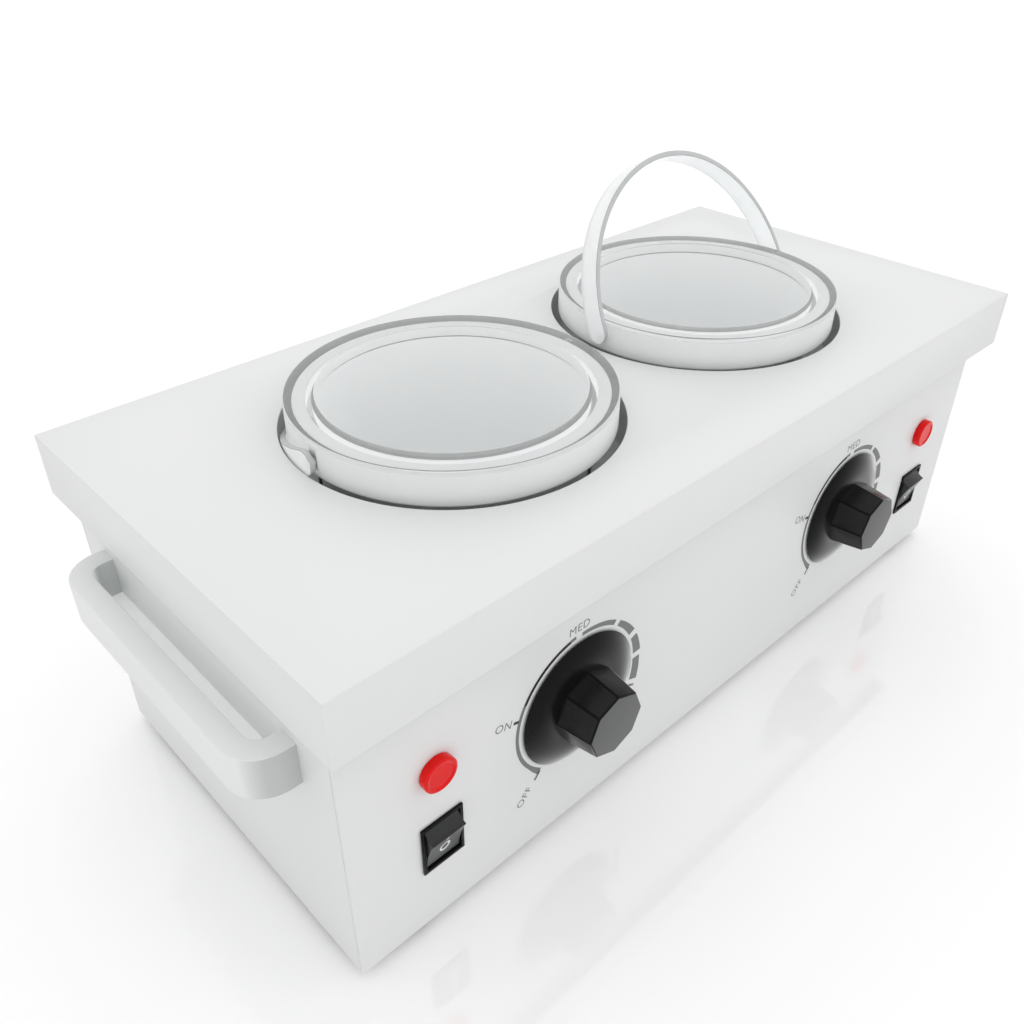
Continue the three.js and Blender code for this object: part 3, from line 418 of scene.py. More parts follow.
def addPiece(name, part, slot, stands=(), body="housing", finish=None, smooth=32):
    mesh = meshOf(name, part)
    mesh.polygons.foreach_set("use_smooth", [True] * len(mesh.polygons))
    mesh.set_sharp_from_angle(angle=math.radians(smooth))
    mesh.materials.append(finish or finishes[slot])
    piece = linked(name, mesh)
    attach(piece, body)
    if stands:
        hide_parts(*stands)
    return piece


def paintFaces(piece, finish, chosen):
    # gives the faces whose middles pass the test one more finish
    piece.data.materials.append(finish)
    last = len(piece.data.materials) - 1
    for face in piece.data.polygons:
        if chosen(face.center, face.normal):
            face.material_index = last


def spun(degrees, axis):
    return Matrix.Rotation(math.radians(degrees), 4, axis)


def shifted(x, y, z):
    return Matrix.Translation((x, y, z))


def placed(part, matrix):
    return [matrix @ Vector(v) for v in part[0]], part[1]


def merged(*parts):
    vertices, faces = [], []
    for some, theirs in parts:
        start = len(vertices)
        vertices += some
        faces += [tuple(start + i for i in face) for face in theirs]
    return vertices, faces


def turnsOf(count):
    # even turns right round, in radians
    return [2 * math.pi * k / count for k in range(count)]


def arcPoints(x, y, radius, start, end, steps):
    # flat points on an arc about (x, y), from one angle to another in degrees
    for k in range(steps + 1):
        a = math.radians(start + (end - start) * k / steps)
        yield x + radius * math.cos(a), y + radius * math.sin(a)


def filleted(corners, steps=4):
    # rounds the corners of a closed outline: each corner is (x, y, radius)
    outline = []
    for i, (x, y, radius) in enumerate(corners):
        here = Vector((x, y))
        if radius == 0:
            outline.append(here)
            continue
        before = (Vector(corners[i - 1][:2]) - here).normalized()
        after = (Vector(corners[(i + 1) % len(corners)][:2]) - here).normalized()
        half = before.angle(after) / 2
        reach = radius / math.tan(half)
        start, end = here + before * reach, here + after * reach
        centre = here + (before + after).normalized() * (radius / math.sin(half))
        turn = (start - centre).angle_signed(end - centre)
        for k in range(steps + 1):
            spin = Matrix.Rotation(-turn * k / steps, 2)
            outline.append(centre + spin @ (start - centre))
    return outline


def loft(loops, closed=True, wrap=False):
    # joins rings or open rows of points that all have the same number of points
    count = len(loops[0])
    vertices = [point for ring in loops for point in ring]
    faces = []
    rows = len(loops) if wrap else len(loops) - 1
    for row in range(rows):
        a, b = row * count, ((row + 1) % len(loops)) * count
        for i in range(count if closed else count - 1):
            j = (i + 1) % count
            faces.append((a + i, a + j, b + j, b + i))
    return vertices, faces


def prism(*loops):
    # rings of points joined into a closed solid
    vertices, faces = loft(loops)
    count = len(loops[0])
    return vertices, faces + [tuple(range(count)), tuple(len(vertices) - 1 - i for i in range(count))]


def turned(profile, facets, closed=True):
    # a ring of revolution about Z from a (radius, height) outline, closed or from axis to axis
    loops = [[Vector((r * math.cos(a), r * math.sin(a), z)) for r, z in profile] for a in turnsOf(facets)]
    return loft(loops, closed=closed, wrap=True)


def boxMesh(low, high):
    (x0, y0, z0), (x1, y1, z1) = low, high
    vertices = [Vector((x, y, z)) for z in (z0, z1) for y in (y0, y1) for x in (x0, x1)]
    faces = [(0, 1, 3, 2), (4, 6, 7, 5), (0, 4, 5, 1), (2, 3, 7, 6), (0, 2, 6, 4), (1, 5, 7, 3)]
    return vertices, faces


def barMesh(radius, low, high, facets):
    # a closed round bar along Z
    turns = turnsOf(facets)
    return prism(*([Vector((radius * math.cos(a), radius * math.sin(a), z)) for a in turns]
                   for z in (low, high)))


def evaluated(thing):
    # what the object looks like after its modifiers
    bpy.context.view_layer.update()
    return partOf(thing.evaluated_get(bpy.context.evaluated_depsgraph_get()).to_mesh())


def shaped(start, cutters=(), added=(), bevel=None, bevelSteps=3, angle=35):
    # booleans and a bevel worked on a scratch object, handed back as a part
    blank = linked("scratch", meshOf("scratch", start))
    helpers = []
    for operation, parts in (("UNION", added), ("DIFFERENCE", cutters)):
        for part in parts:
            tool = linked("scratch", meshOf("scratch", part))
            helpers.append(tool)
            step = blank.modifiers.new("step", "BOOLEAN")
            step.operation = operation
            step.solver = "EXACT"
            step.object = tool
    if bevel:
        edge = blank.modifiers.new("edge", "BEVEL")
        edge.width = bevel
        edge.segments = bevelSteps
        edge.limit_method = "ANGLE"
        edge.angle_limit = math.radians(angle)
        edge.use_clamp_overlap = True
    part = evaluated(blank)
    for thing in [blank, *helpers]:
        bpy.data.objects.remove(thing)
    return part


def welded(part):
    # joins the points of a turned outline that meet on its axis
    return partOf(meshOf("scratch", part, weldWithin=0.002 * mm))


def centreOf(node):
    low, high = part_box(node)
    return (Vector(low) + Vector(high)) / 2


def stood(part, node):
    # moves a part along the ground from the origin to the node's place
    at = centreOf(node)
    return placed(part, shifted(at.x, at.y, 0))


outOfFront = spun(90, "X")        # turns +Z to -Y
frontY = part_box("front_panel")[0][1]


# The cover: one folded tray with two round holes

def makeCover():
    cover = inMetres({"sheet": 1.2, "hole": 60.4, "edge": 0.35, "past": 1.0})
    low, high = (Vector(v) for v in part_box("top_cover"))
    sheet = cover["sheet"]
    hollow = boxMesh(low + Vector((sheet, sheet, -sheet)), high - Vector((sheet, sheet, sheet)))
    hole = barMesh(cover["hole"], low.z - cover["past"], high.z + cover["past"], rounds["large"])
    holes = [stood(hole, f"pot_can_{side}") for side in sides]
    tray = shaped(boxMesh(low, high), [hollow, *holes], bevel=cover["edge"], bevelSteps=2, angle=50)
    addPiece("coverTray", tray, "white_paint", ["top_cover"])


makeCover()
print("cover made")


# Pots: can, collar and bail, and the well that each pot stands in

pot = inMetres({
    "canInner": 47.0, "canWall": 0.8, "canCorner": 4.0,
    "mouth": 46.7, "lipRound": 0.35, "lipDepth": 4.1,
    "sleeve": 48.1, "innerWall": 1.9, "outer": 57.4, "outerWall": 3.0, "web": 4.1,
    "chamferWidth": 0.5, "chamferDrop": 1.7, "pinHole": 1.9, "pinHoleFrom": 50.0, "pinHoleTo": 60.0,
})


def makeCan(side):
    cornerSteps, rimSteps = 8, 6
    node = f"pot_can_{side}"
    low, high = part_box(node)
    at = centreOf(node)
    inner, wall, corner = pot["canInner"], pot["canWall"], pot["canCorner"]
    outer, inside, rim = inner + wall, corner - wall, wall / 2
    profile = [
        (0.0, low[2]),
        *arcPoints(outer - corner, low[2] + corner, corner, -90, 0, cornerSteps),
        *arcPoints(outer - rim, high[2] - rim, rim, 0, 180, rimSteps),
        *arcPoints(inner - inside, low[2] + wall + inside, inside, 0, -90, cornerSteps),
        (0.0, low[2] + wall),
    ]
    part = stood(welded(turned(profile, rounds["large"], closed=False)), node)
    can = addPiece(f"can_{side}", part, "can_metal", [node], f"pot_{side}")
    paintFaces(can, canOutsideFinish, lambda middle, normal: middle.z < low[2] + rim
               or math.hypot(middle.x - at.x, middle.y - at.y) > inner + rim)


def makeCollar(side):
    near, wide = 0.1 * mm, 0.3 * mm
    node = f"pot_collar_{side}"
    low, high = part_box(node)
    at = centreOf(f"pot_can_{side}")
    bottom, top = low[2], high[2]
    lipUnder = top - pot["lipDepth"]
    sleeve, mouth, outer = pot["sleeve"], pot["mouth"], pot["outer"]
    inner = sleeve + pot["innerWall"]
    channel = outer - pot["outerWall"]
    profile = filleted([
        (sleeve, bottom, 0.3 * mm),
        (inner, bottom, 0.3 * mm),
        (inner, top - pot["web"], 0.5 * mm),
        (channel, top - pot["web"], 0.5 * mm),
        (channel, bottom, 0.4 * mm),
        (outer, bottom, 0.8 * mm),
        (outer, top - pot["chamferDrop"], 0.5 * mm),
        (outer - pot["chamferWidth"], top, 0.25 * mm),
        (mouth, top, pot["lipRound"]),
        (mouth, lipUnder, 0.2 * mm),
        (sleeve, lipUnder, 0),
    ])
    bar = barMesh(pot["pinHole"], pot["pinHoleFrom"], pot["pinHoleTo"], rounds["pin"])
    holes = [placed(bar, shifted(0, 0, pivotOf(side).z) @ spun(turn, "Y")) for turn in (90, -90)]
    part = placed(shaped(turned(profile, rounds["large"]), holes), shifted(at.x, at.y, 0))
    collar = addPiece(f"collar_{side}", part, "frosted_plastic", [node], f"pot_{side}")
    channelTop = top - pot["web"] + 0.05 * mm
    # bands by radius and height: the channel's roof, the sleeve's two sides, the mouth, the outer wall's
    # foot, the lip's underside, the outer face and the rim. The roof and the sleeve's sides glow a little as
    # painted light; the lip's underside and the rim are painted shade, and the mouth, foot and outer face
    # turn to a darker painted shade where seen from within
    bands = (
        (insideFinish, inner + near, channel - near, channelTop - 0.6 * mm, channelTop),
        (insideFinish, sleeve - near, sleeve + near, -far, lipUnder - near),
        (insideFinish, inner - near, inner + near, bottom + 0.5 * mm, channelTop),
        (mouthFinish, mouth - near, mouth + near, lipUnder, top - 0.2 * mm),
        (sideFinish, channel + 0.2 * mm, far, -far, bottom + 0.6 * mm),
        (shadedFinish, 0, sleeve, lipUnder - near, lipUnder + near),
        (sideFinish, outer - wide, far, -far, top - pot["chamferDrop"] - wide),
        (rimShadeFinish, outer - pot["chamferWidth"] - wide, far, top - wide, far),
    )
    for finish, nearest, farthest, lowest, highest in bands:
        paintFaces(collar, finish, lambda middle, normal: lowest < middle.z < highest
                   and nearest < math.hypot(middle.x - at.x, middle.y - at.y) < farthest)


def makeWell(side):
    w = inMetres({"mouth": 61.39, "bore": 48.7, "wall": 1.5, "flange": 2.6, "mouthDepth": 19.5})
    node = f"heating_well_{side}"
    low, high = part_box(node)
    bottom, top = low[2], high[2]
    mouth, bore, wall = w["mouth"], w["bore"], w["wall"]
    shoulder = top - w["mouthDepth"]
    outside = mouth + wall
    outline = filleted([
        (0.0, bottom, 0),
        (bore + wall, bottom, 1.2 * mm),
        (bore + wall, shoulder - wall, 0.5 * mm),
        (outside, shoulder - wall, 1.0 * mm),
        (outside, top - wall, 0.4 * mm),
        (outside + w["flange"], top - wall, 0.3 * mm),
        (outside + w["flange"], top, 0.3 * mm),
        (mouth, top, 0.5 * mm),
        (mouth, shoulder, 0.8 * mm),
        (bore, shoulder, 0.5 * mm),
        (bore, bottom + wall, 0.8 * mm),
        (0.0, bottom + wall, 0),
    ])
    part = stood(welded(turned(outline, rounds["large"])), node)
    addPiece(f"wellCup_{side}", part, "well_metal", [node])


def pivotOf(side):
    for joint in frame["record"]["behaviour"]["joints"]:
        if joint["name"] == f"bail_{side}_swing":
            return Vector(joint["pos_m"])


def makeBail(side, lean):
    # the strap is lofted through cross-sections, from below one pivot over the top to below the other
    b = inMetres({"inner": 57.98, "thick": 2.0, "half": 4.45, "tip": 2.0, "edge": 0.28, "pin": 1.6,
                  "pinTip": 53.6, "thinnest": 0.02})
    endSteps, archSteps, edgeSteps, edgeShare = 12, 90, 3, 0.45
    inner, outer, half = b["inner"], b["inner"] + b["thick"], b["half"]
    centre = half - b["tip"]
    tipAngle = math.asin(b["tip"] / outer)
    roundTop = math.asin(centre / outer)
    stations = []
    for k in range(endSteps + 1):           # rounded end: closer together near the tip
        share = 1 - math.cos(math.radians(90 * k / endSteps))
        stations.append(-tipAngle + (tipAngle + roundTop) * share)
    ends = [math.pi - a for a in reversed(stations)]
    first, last = stations[-1], ends[0]
    arch = [first + (last - first) * k / archSteps for k in range(1, archSteps)]
    loops = []
    for a in [*stations, *arch, *ends]:
        rise = outer * math.sin(a) if a < math.pi / 2 else outer * math.sin(math.pi - a)
        reach = math.sqrt(max(half ** 2 - max(centre - rise, 0) ** 2, b["thinnest"] ** 2))
        edge = min(b["edge"], reach * edgeShare)
        section = filleted([(inner, -reach, edge), (outer, -reach, edge), (outer, reach, edge),
                            (inner, reach, edge)], steps=edgeSteps)
        loops.append([Vector((r * math.cos(a), w, r * math.sin(a))) for r, w in section])
    pin = barMesh(b["pin"], b["pinTip"], (inner + outer) / 2, rounds["pin"])
    pins = [placed(pin, spun(turn, "Y")) for turn in (90, -90)]
    place = Matrix.Translation(pivotOf(side)) @ spun(-lean, "X")
    part = placed(merged(prism(*loops), *pins), place)
    node = f"bail_{side}"
    strap = addPiece(f"strap_{side}", part, "frosted_plastic", [node], node, strapFinish)
    upright = place.inverted()
    flat, slanted = 0.9, 0.3

    def facesOut(middle, normal):
        # one on the strap's outer face, minus one on its inner face, nothing on its cut sides
        spot = upright @ middle
        return (upright.to_3x3() @ normal).dot(Vector((spot.x, 0, spot.z)).normalized())
    # painted light on the inner face, painted shade on the cut sides and the bevelled edges
    paintFaces(strap, strapInGlowFinish, lambda middle, normal: facesOut(middle, normal) < -flat)
    paintFaces(strap, strapCutShadeFinish, lambda middle, normal: abs(facesOut(middle, normal)) < flat)
    paintFaces(strap, edgeShadeFinish, lambda middle, normal: slanted < abs(facesOut(middle, normal)) < flat)


for side, lean in (("left", 110.0), ("right", 27.5)):
    makeCan(side)
    makeWell(side)
    makeCollar(side)
    makeBail(side, lean)
print("pots made")


# Handles: moulded trays with soft edges

def makeHandle(side):
    h = inMetres({"reach": 16.55, "halfSpan": 60.2, "corner": 13, "rim": 7.7, "floor": 1.4, "gap": 0.03,
                  "soft": 0.4, "hole": 2.2, "holePast": 0.4, "holeEnd": 20, "near": 0.1, "clear": 0.3})
    softSteps, cornerSteps = 4, 12
    low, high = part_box(f"handle_{side}")
    bottom, top = low[2], high[2]

    def plan(inset, height):
        # the outline at a given inset from the outside, from one end at the wall to the other
        reach, half, corner = h["reach"] - inset, h["halfSpan"] - inset, h["corner"] - inset
        points = [(h["gap"], -half)]
        for base, sign in ((-90, -1), (0, 1)):
            points += arcPoints(reach - corner, sign * (half - corner), corner, base, base + 90, cornerSteps)
        points.append((h["gap"], half))
        return [Vector((x, y, height)) for x, y in points]
    soft, rim, floorTop = h["soft"], h["rim"], bottom + h["floor"]
    rows = [
        *arcPoints(soft, bottom + soft, soft, 270, 180, softSteps),
        *arcPoints(soft, top - soft, soft, 180, 90, softSteps),
        *arcPoints(rim - soft, top - soft, soft, 90, 0, softSteps),
        *arcPoints(rim + soft, floorTop + soft, soft, 180, 270, softSteps),
    ]
    vertices, faces = loft([plan(inset, height) for inset, height in rows], closed=False)
    count = len(plan(0, 0))
    last = (len(rows) - 1) * count
    faces.append(tuple(range(count)))                        # underside
    faces.append(tuple(range(last, last + count)))           # pocket floor
    near = [row * count for row in range(len(rows))]
    distant = [row * count + count - 1 for row in range(len(rows))]
    faces.append(tuple(near + distant[::-1]))                # back, against the wall
    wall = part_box(f"{side}_end_panel")
    isLeft = side == "left"
    x = wall[0][0] if isLeft else wall[1][0]
    y = (low[1] + high[1]) / 2
    start = placed((vertices, faces), shifted(x, y, 0) @ spun(180 if isLeft else 0, "Z"))
    holes = []
    for i in (1, 2):
        screw = centreOf(f"handle_screw_{side}_{i}")
        screwLow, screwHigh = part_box(f"handle_screw_{side}_{i}")
        begin, end = -h["holeEnd"], screwHigh[0] - screw.x + h["holePast"]
        if isLeft:
            begin, end = screwLow[0] - screw.x - h["holePast"], h["holeEnd"]
        bar = barMesh(h["hole"], begin, end, rounds["screw"])
        holes.append(placed(bar, Matrix.Translation(screw) @ spun(90, "Y")))
    grip = addPiece(f"grip_{side}", shaped(start, holes), "white_plastic", [f"handle_{side}"])
    innerReach = h["reach"] - rim + h["near"]
    innerHalf = h["halfSpan"] - rim + h["near"]
    # the pocket's faces take the lighter, glowing finish, with painted shade on its front-facing faces
    paintFaces(grip, pocketLightAndShadeFinish, lambda middle, normal: abs(middle.x - x) < innerReach
               and abs(middle.y - y) < innerHalf and bottom + h["clear"] < middle.z < top - h["clear"])


# Knobs: a crowned skirt and an eight-sided grip, hollow behind for the nut and the spindle

def makeKnob(side):
    k = inMetres({"skirt": 25.8, "lift": 0.6, "edge": 0.25, "rim": 0.2, "crown": 3.25, "gripBase": 14.7,
                  "gripFront": 12.45, "reach": 17.3, "soft": 0.55, "recess": 9.1, "recessDepth": 3.2,
                  "bore": 3.3, "boreDepth": 13.6, "flat": 1.0, "flatHalf": 5.0, "flatFrom": -2.0,
                  "flatTo": 20.0, "past": 1.0, "near": 0.02, "clear": 0.2})
    rimSteps, domeSteps, gripSides = 4, 24, 8
    node = f"knob_{side}"
    at = centreOf(node)
    rim = k["rim"]
    skirtTop = k["lift"] + k["edge"]
    crownTop = skirtTop + k["crown"]
    profile = [
        (0.0, k["lift"]),
        (k["skirt"] - rim, k["lift"]),
        *arcPoints(k["skirt"] - rim, k["lift"] + rim, rim, -90, 0, rimSteps),
    ]
    crownWidth = k["skirt"] - k["gripBase"]
    domeRadius = (crownWidth ** 2 + k["crown"] ** 2) / (2 * k["crown"])
    lean = math.asin(crownWidth / domeRadius)
    for step in range(domeSteps + 1):
        a = lean * (1 - step / domeSteps)
        profile.append((k["gripBase"] + domeRadius * math.sin(a), crownTop - domeRadius * (1 - math.cos(a))))
    profile.append((0.0, crownTop))
    sideTurn = 360 / gripSides
    turns = [math.radians(sideTurn * i) for i in range(gripSides)]
    ends = [[Vector((radius * math.sin(a), radius * math.cos(a), height)) for a in turns]
            for radius, height in ((k["gripBase"], skirtTop), (k["gripFront"], k["reach"]))]
    grip = shaped(prism(*ends), bevel=k["soft"], angle=20)
    recess = barMesh(k["recess"], -k["past"], k["recessDepth"], rounds["small"])
    flatCut = boxMesh((k["bore"] - k["flat"], -k["flatHalf"], k["flatFrom"]),
                      (k["flatHalf"], k["flatHalf"], k["flatTo"]))
    bore = shaped(barMesh(k["bore"], -k["past"], k["boreDepth"], rounds["pin"]), [flatCut])
    part = shaped(welded(turned(profile, rounds["large"], closed=False)), [recess, bore], [grip])
    place = shifted(at.x, frontY, at.z) @ outOfFront
    dialKnob = addPiece(f"dialKnob_{side}", placed(part, place), "black_plastic", [node], node, smooth=18)
    face = frontY - k["reach"] + k["near"]
    squareOn, sideways, nearTurn = -0.99, 0.35, 2
    paintFaces(dialKnob, satinFinish, lambda middle, normal: middle.y < face and normal.y < squareOn)

    def onFacet(middle, normal):
        # the grip's flat sides, without their rounded corners
        off = (math.degrees(math.atan2(normal.x, normal.z)) + 360) % sideTurn - sideTurn / 2
        return middle.y < frontY - crownTop - k["clear"] and abs(normal.y) < sideways and abs(off) < nearTurn
    paintFaces(dialKnob, facetFinish, onFacet)


# Lamps: a bevelled red cap

def makeLens(side):
    l = inMetres({"radius": 6.3, "reach": 3.3, "shoulder": 0.9, "rim": 1.9, "dish": 0.55, "wall": 1.1,
                  "gap": 0.2})
    dishMiddle = 0.8        # share of the dish's depth that is left at its middle
    node = f"lamp_lens_{side}"
    at = centreOf(node)
    radius, reach, dish, inside = l["radius"], l["reach"], l["dish"], l["radius"] - l["wall"]
    outline = filleted([
        (inside, l["gap"], 0.1 * mm),
        (radius, l["gap"], 0.15 * mm),
        (radius, reach - dish, 0.2 * mm),
        (radius - l["shoulder"], reach, 0.7 * mm),
        (radius - l["rim"], reach - dish, 0.35 * mm),
        (0.0, reach - dish * dishMiddle, 0),
        (0.0, reach - l["wall"], 0),
        (inside, reach - l["wall"], 0.3 * mm),
    ])
    part = placed(welded(turned(outline, rounds["lens"])), shifted(at.x, frontY, at.z) @ outOfFront)
    addPiece(f"lens_{side}", part, "red_lens", [node])


# Rocker switches: bezel, pocket and rocker with its printed marks

def makeSwitch(side):
    w = inMetres({"width": 16.5, "height": 21.15, "bezel": 0.8, "sideFrame": 1.3, "endFrame": 1.35,
                  "wall": 0.6, "depth": 20.0, "gap": 0.2, "soft": 0.22, "pocket": 12.2, "past": 3.0,
                  "pinHole": 1.3, "pinHoleReach": 9.0, "pivotDepth": 3.0, "tabHalf": 1.2, "tabRise": 0.6,
                  "tabReach": 6.0})
    node = f"switch_body_{side}"
    at = centreOf(node)
    wall, gap = w["wall"], w["gap"]
    halfWidth, halfHeight = w["width"] / 2, w["height"] / 2
    innerWidth, innerHeight = halfWidth - w["sideFrame"], halfHeight - w["endFrame"]
    frameBox = boxMesh((-halfWidth, -gap - w["bezel"], -halfHeight), (halfWidth, -gap, halfHeight))
    body = boxMesh((-innerWidth - wall, -gap - w["bezel"] / 2, -innerHeight - wall),
                   (innerWidth + wall, w["depth"], innerHeight + wall))
    tabAt = (innerHeight + wall) / 2
    tabs = [boxMesh((-w["tabHalf"], w["depth"] - wall, up - w["tabRise"]),
                    (w["tabHalf"], w["depth"] + w["tabReach"], up + w["tabRise"])) for up in (-tabAt, tabAt)]
    pocket = boxMesh((-innerWidth, -w["past"], -innerHeight), (innerWidth, w["pocket"], innerHeight))
    hole = placed(barMesh(w["pinHole"], -w["pinHoleReach"], w["pinHoleReach"], rounds["screw"]),
                  shifted(0, w["pivotDepth"], 0) @ spun(90, "Y"))
    part = shaped(frameBox, [pocket, hole], [body, *tabs], bevel=w["soft"], bevelSteps=2, angle=60)
    part = placed(part, shifted(at.x, frontY, at.z))
    addPiece(f"switchBezel_{side}", part, "black_plastic", [node], finish=bezelFinish)
    makeRocker(side, at.x, at.z)


def bent(start, pull, end, t):
    # a curve from start to end, drawn towards pull
    return start * (1 - t) ** 2 + pull * 2 * t * (1 - t) + end * t ** 2


def makeRocker(side, x, z):
    # in outline, two hollow faces that meet in a ridge, and a back that is round about the pivot
    r = inMetres({"halfWidth": 6.65, "radius": 8.925, "pivot": 3.0, "ridge": 4.3, "end": 0.3, "back": 1.2,
                  "hollow": 0.8, "soft": 0.25, "pin": 1.0, "pinEnd": 7.35})
    backSteps, topSteps, lowSteps = 10, 12, 20
    radius = r["radius"]
    ridgeY = -(r["pivot"] + r["ridge"])
    endY = -(r["pivot"] + r["end"])
    ridgeZ = math.sqrt(radius ** 2 - ridgeY ** 2)
    endZ = math.sqrt(radius ** 2 - endY ** 2)
    middleY = (ridgeY + endY) / 2
    topPull = Vector((middleY + r["hollow"], (endZ + ridgeZ) / 2 - r["hollow"]))
    lowPull = Vector((middleY + 2 * r["hollow"], (ridgeZ - endZ) / 2))
    ridge, top, foot = Vector((ridgeY, ridgeZ)), Vector((endY, endZ)), Vector((endY, -endZ))
    backTurn, endTurn = math.acos(r["back"] / radius), math.acos(endY / radius)

    def backArc(start, count):
        turns = [start + (endTurn - backTurn) * k / backSteps for k in range(count)]
        return [Vector((radius * math.cos(a), radius * math.sin(a))) for a in turns]
    outline = [
        *backArc(backTurn, backSteps),
        *(bent(top, topPull, ridge, k / topSteps) for k in range(topSteps)),
        *(bent(ridge, lowPull, foot, k / lowSteps) for k in range(lowSteps)),
        *backArc(-endTurn, backSteps + 1),
    ]
    block = prism(*([Vector((sign * r["halfWidth"], y, up)) for y, up in outline] for sign in (-1, 1)))
    pin = placed(barMesh(r["pin"], -r["pinEnd"], r["pinEnd"], rounds["screw"]), spun(90, "Y"))
    part = shaped(block, added=[pin], bevel=r["soft"], bevelSteps=2, angle=40)
    place = shifted(x, frontY + r["pivot"], z)
    part = placed(part, place)
    node = f"rocker_{side}"
    button = addPiece(f"rockerButton_{side}", part, "black_plastic", [node], node, switchFinish)
    outwards = -0.4
    paintFaces(button, lowFaceFinish, lambda middle, normal: middle.z < z + ridgeZ and normal.y < outwards)
    makeRockerMarks(side, place, lambda t: bent(ridge, lowPull, foot, t))


def makeRockerMarks(side, place, faceAt):
    # a ring and a short bar printed on the hollow lower face
    m = inMetres({"ringOut": 2.1, "ringIn": 1.35, "barHalf": 0.35, "barLength": 2.3, "lift": 0.04})
    tall, ringAt, barAt = 1.25, 0.58, 0.17        # the ring's height over its width, and places down the face
    samples, ringSteps, barSteps, nearlyAll = 60, 40, 4, 0.999
    lowFace = [faceAt(k / samples) for k in range(samples + 1)]
    lengths = [0.0]
    for a, b in zip(lowFace, lowFace[1:]):
        lengths.append(lengths[-1] + (b - a).length)
    total = lengths[-1]

    def onFace(across, down):
        down = min(max(down, 0.0), total * nearlyAll)
        k = next(i for i in range(samples) if lengths[i + 1] >= down)
        share = (down - lengths[k]) / (lengths[k + 1] - lengths[k])
        along = (lowFace[k + 1] - lowFace[k]).normalized()
        out = Vector((along.y, -along.x))
        out = out if out.x < 0 else -out
        spot = lowFace[k].lerp(lowFace[k + 1], share) + out * m["lift"]
        return place @ Vector((across, spot.x, spot.y))
    centre, barTop = total * ringAt, total * barAt - m["barLength"] / 2
    ring = [[onFace(radius * math.sin(a), centre - radius * tall * math.cos(a))
             for radius in (m["ringIn"], m["ringOut"])] for a in turnsOf(ringSteps)]
    bar = [[onFace(x, barTop + m["barLength"] * k / barSteps) for x in (-m["barHalf"], m["barHalf"])]
           for k in range(barSteps + 1)]
    part = merged(loft(ring, closed=False, wrap=True), loft(bar, closed=False))
    addPiece(f"rockerMarks_{side}", part, "black_plastic", body=f"rocker_{side}", finish=whiteInk)


# Dial prints: arcs, ticks, wedges and words round each knob, a hair's breadth above the paint

dialPrint = {
    # each band runs from one turn to another, in degrees clockwise from the top, with its inner and outer
    # radius in millimetres at the start and, where they differ, at the end
    "Grey": {
        "offTail": (-142, -128, 27.4, 30.0, 27.4, 28.9),
        "offArc": (-128, -62, 27.4, 28.9, 27.3, 28.7),
        "offTick": (-143.2, -141.0, 28.5, 32.4),
        "topArc": (-10, -4.8, 27.3, 28.8),
        "medWedge": (1, 35.5, 27.0, 28.5, 27.4, 29.5),
        "secondWedge": (40.5, 63, 27.4, 29.6, 27.5, 30.6),
        "thirdWedge": (68.7, 86, 27.6, 30.7, 27.7, 31.5),
        "lastWedge": (90.8, 110.5, 27.7, 31.2, 28.5, 32.7),
        "endTick": (114.6, 116.4, 28.5, 32.7),
    },
    "Black": {
        "onArc": (-62, -10, 27.2, 28.6),
        "onTick": (-74.6, -72.4, 28.6, 30.9),
    },
    # each word's radius and turn, and how far MED stands left of the knob's middle and above it
    "words": {"Off": (39.2, -141.0), "On": (35.4, -73.4)},
    "med": (0.9, 31.3),
    "lift": 0.04, "fineStep": 2.0,
}


def makeDial(side):
    at = centreOf(f"knob_{side}")
    y = frontY - dialPrint["lift"] * mm

    def spot(radius, turn):
        # turn runs clockwise from the top, as seen from the front
        a = math.radians(turn)
        return Vector((at.x + radius * mm * math.sin(a), y, at.z + radius * mm * math.cos(a)))

    def band(start, end, inner0, outer0, inner1=None, outer1=None):
        inner1, outer1 = inner1 or inner0, outer1 or outer0
        steps = max(1, math.ceil(abs(end - start) / dialPrint["fineStep"]))
        rows = []
        for k in range(steps + 1):
            t = k / steps
            turn = start + (end - start) * t
            rows.append([spot(from0 + (to1 - from0) * t, turn)
                         for from0, to1 in ((inner0, inner1), (outer0, outer1))])
        return loft(rows, closed=False)
    for colour, ink in (("Grey", greyInk), ("Black", blackInk)):
        part = merged(*(band(*sizes) for sizes in dialPrint[colour].values()))
        addPiece(f"dial{colour}_{side}", part, "white_paint", finish=ink)
    for word, (radius, turn) in dialPrint["words"].items():
        makeWord(f"dial{word}_{side}", word.upper(), spot(radius, turn), -turn - 90)
    left, up = dialPrint["med"]
    makeWord(f"dialMed_{side}", "MED", Vector((at.x - left * mm, y, at.z + up * mm)), 0)


def makeWord(name, text, at, turn):
    # turn is the word's slope, anticlockwise from level as seen from the front
    word = {"height": 3.3, "sizeOverHeight": 1.39, "spacing": 1.08, "thin": 0.012}
    curve = bpy.data.curves.new(name, "FONT")
    curve.body = text
    curve.align_x = "CENTER"
    curve.align_y = "CENTER"
    curve.size = word["height"] * word["sizeOverHeight"] * mm
    curve.space_character = word["spacing"]
    curve.offset = -word["thin"] * mm
    letters = linked(name, curve)
    part = evaluated(letters)
    bpy.data.objects.remove(letters)
    place = Matrix.Translation(at) @ outOfFront @ spun(turn, "Z")
    addPiece(name, placed(part, place), "white_paint", finish=greyInk)


for stage, make in (("handles", makeHandle), ("knobs", makeKnob), ("lamps", makeLens),
                    ("switches", makeSwitch), ("dials", makeDial)):
    for side in sides:
        make(side)
    print(stage, "made")


# Gland and feet: smooth turned pieces

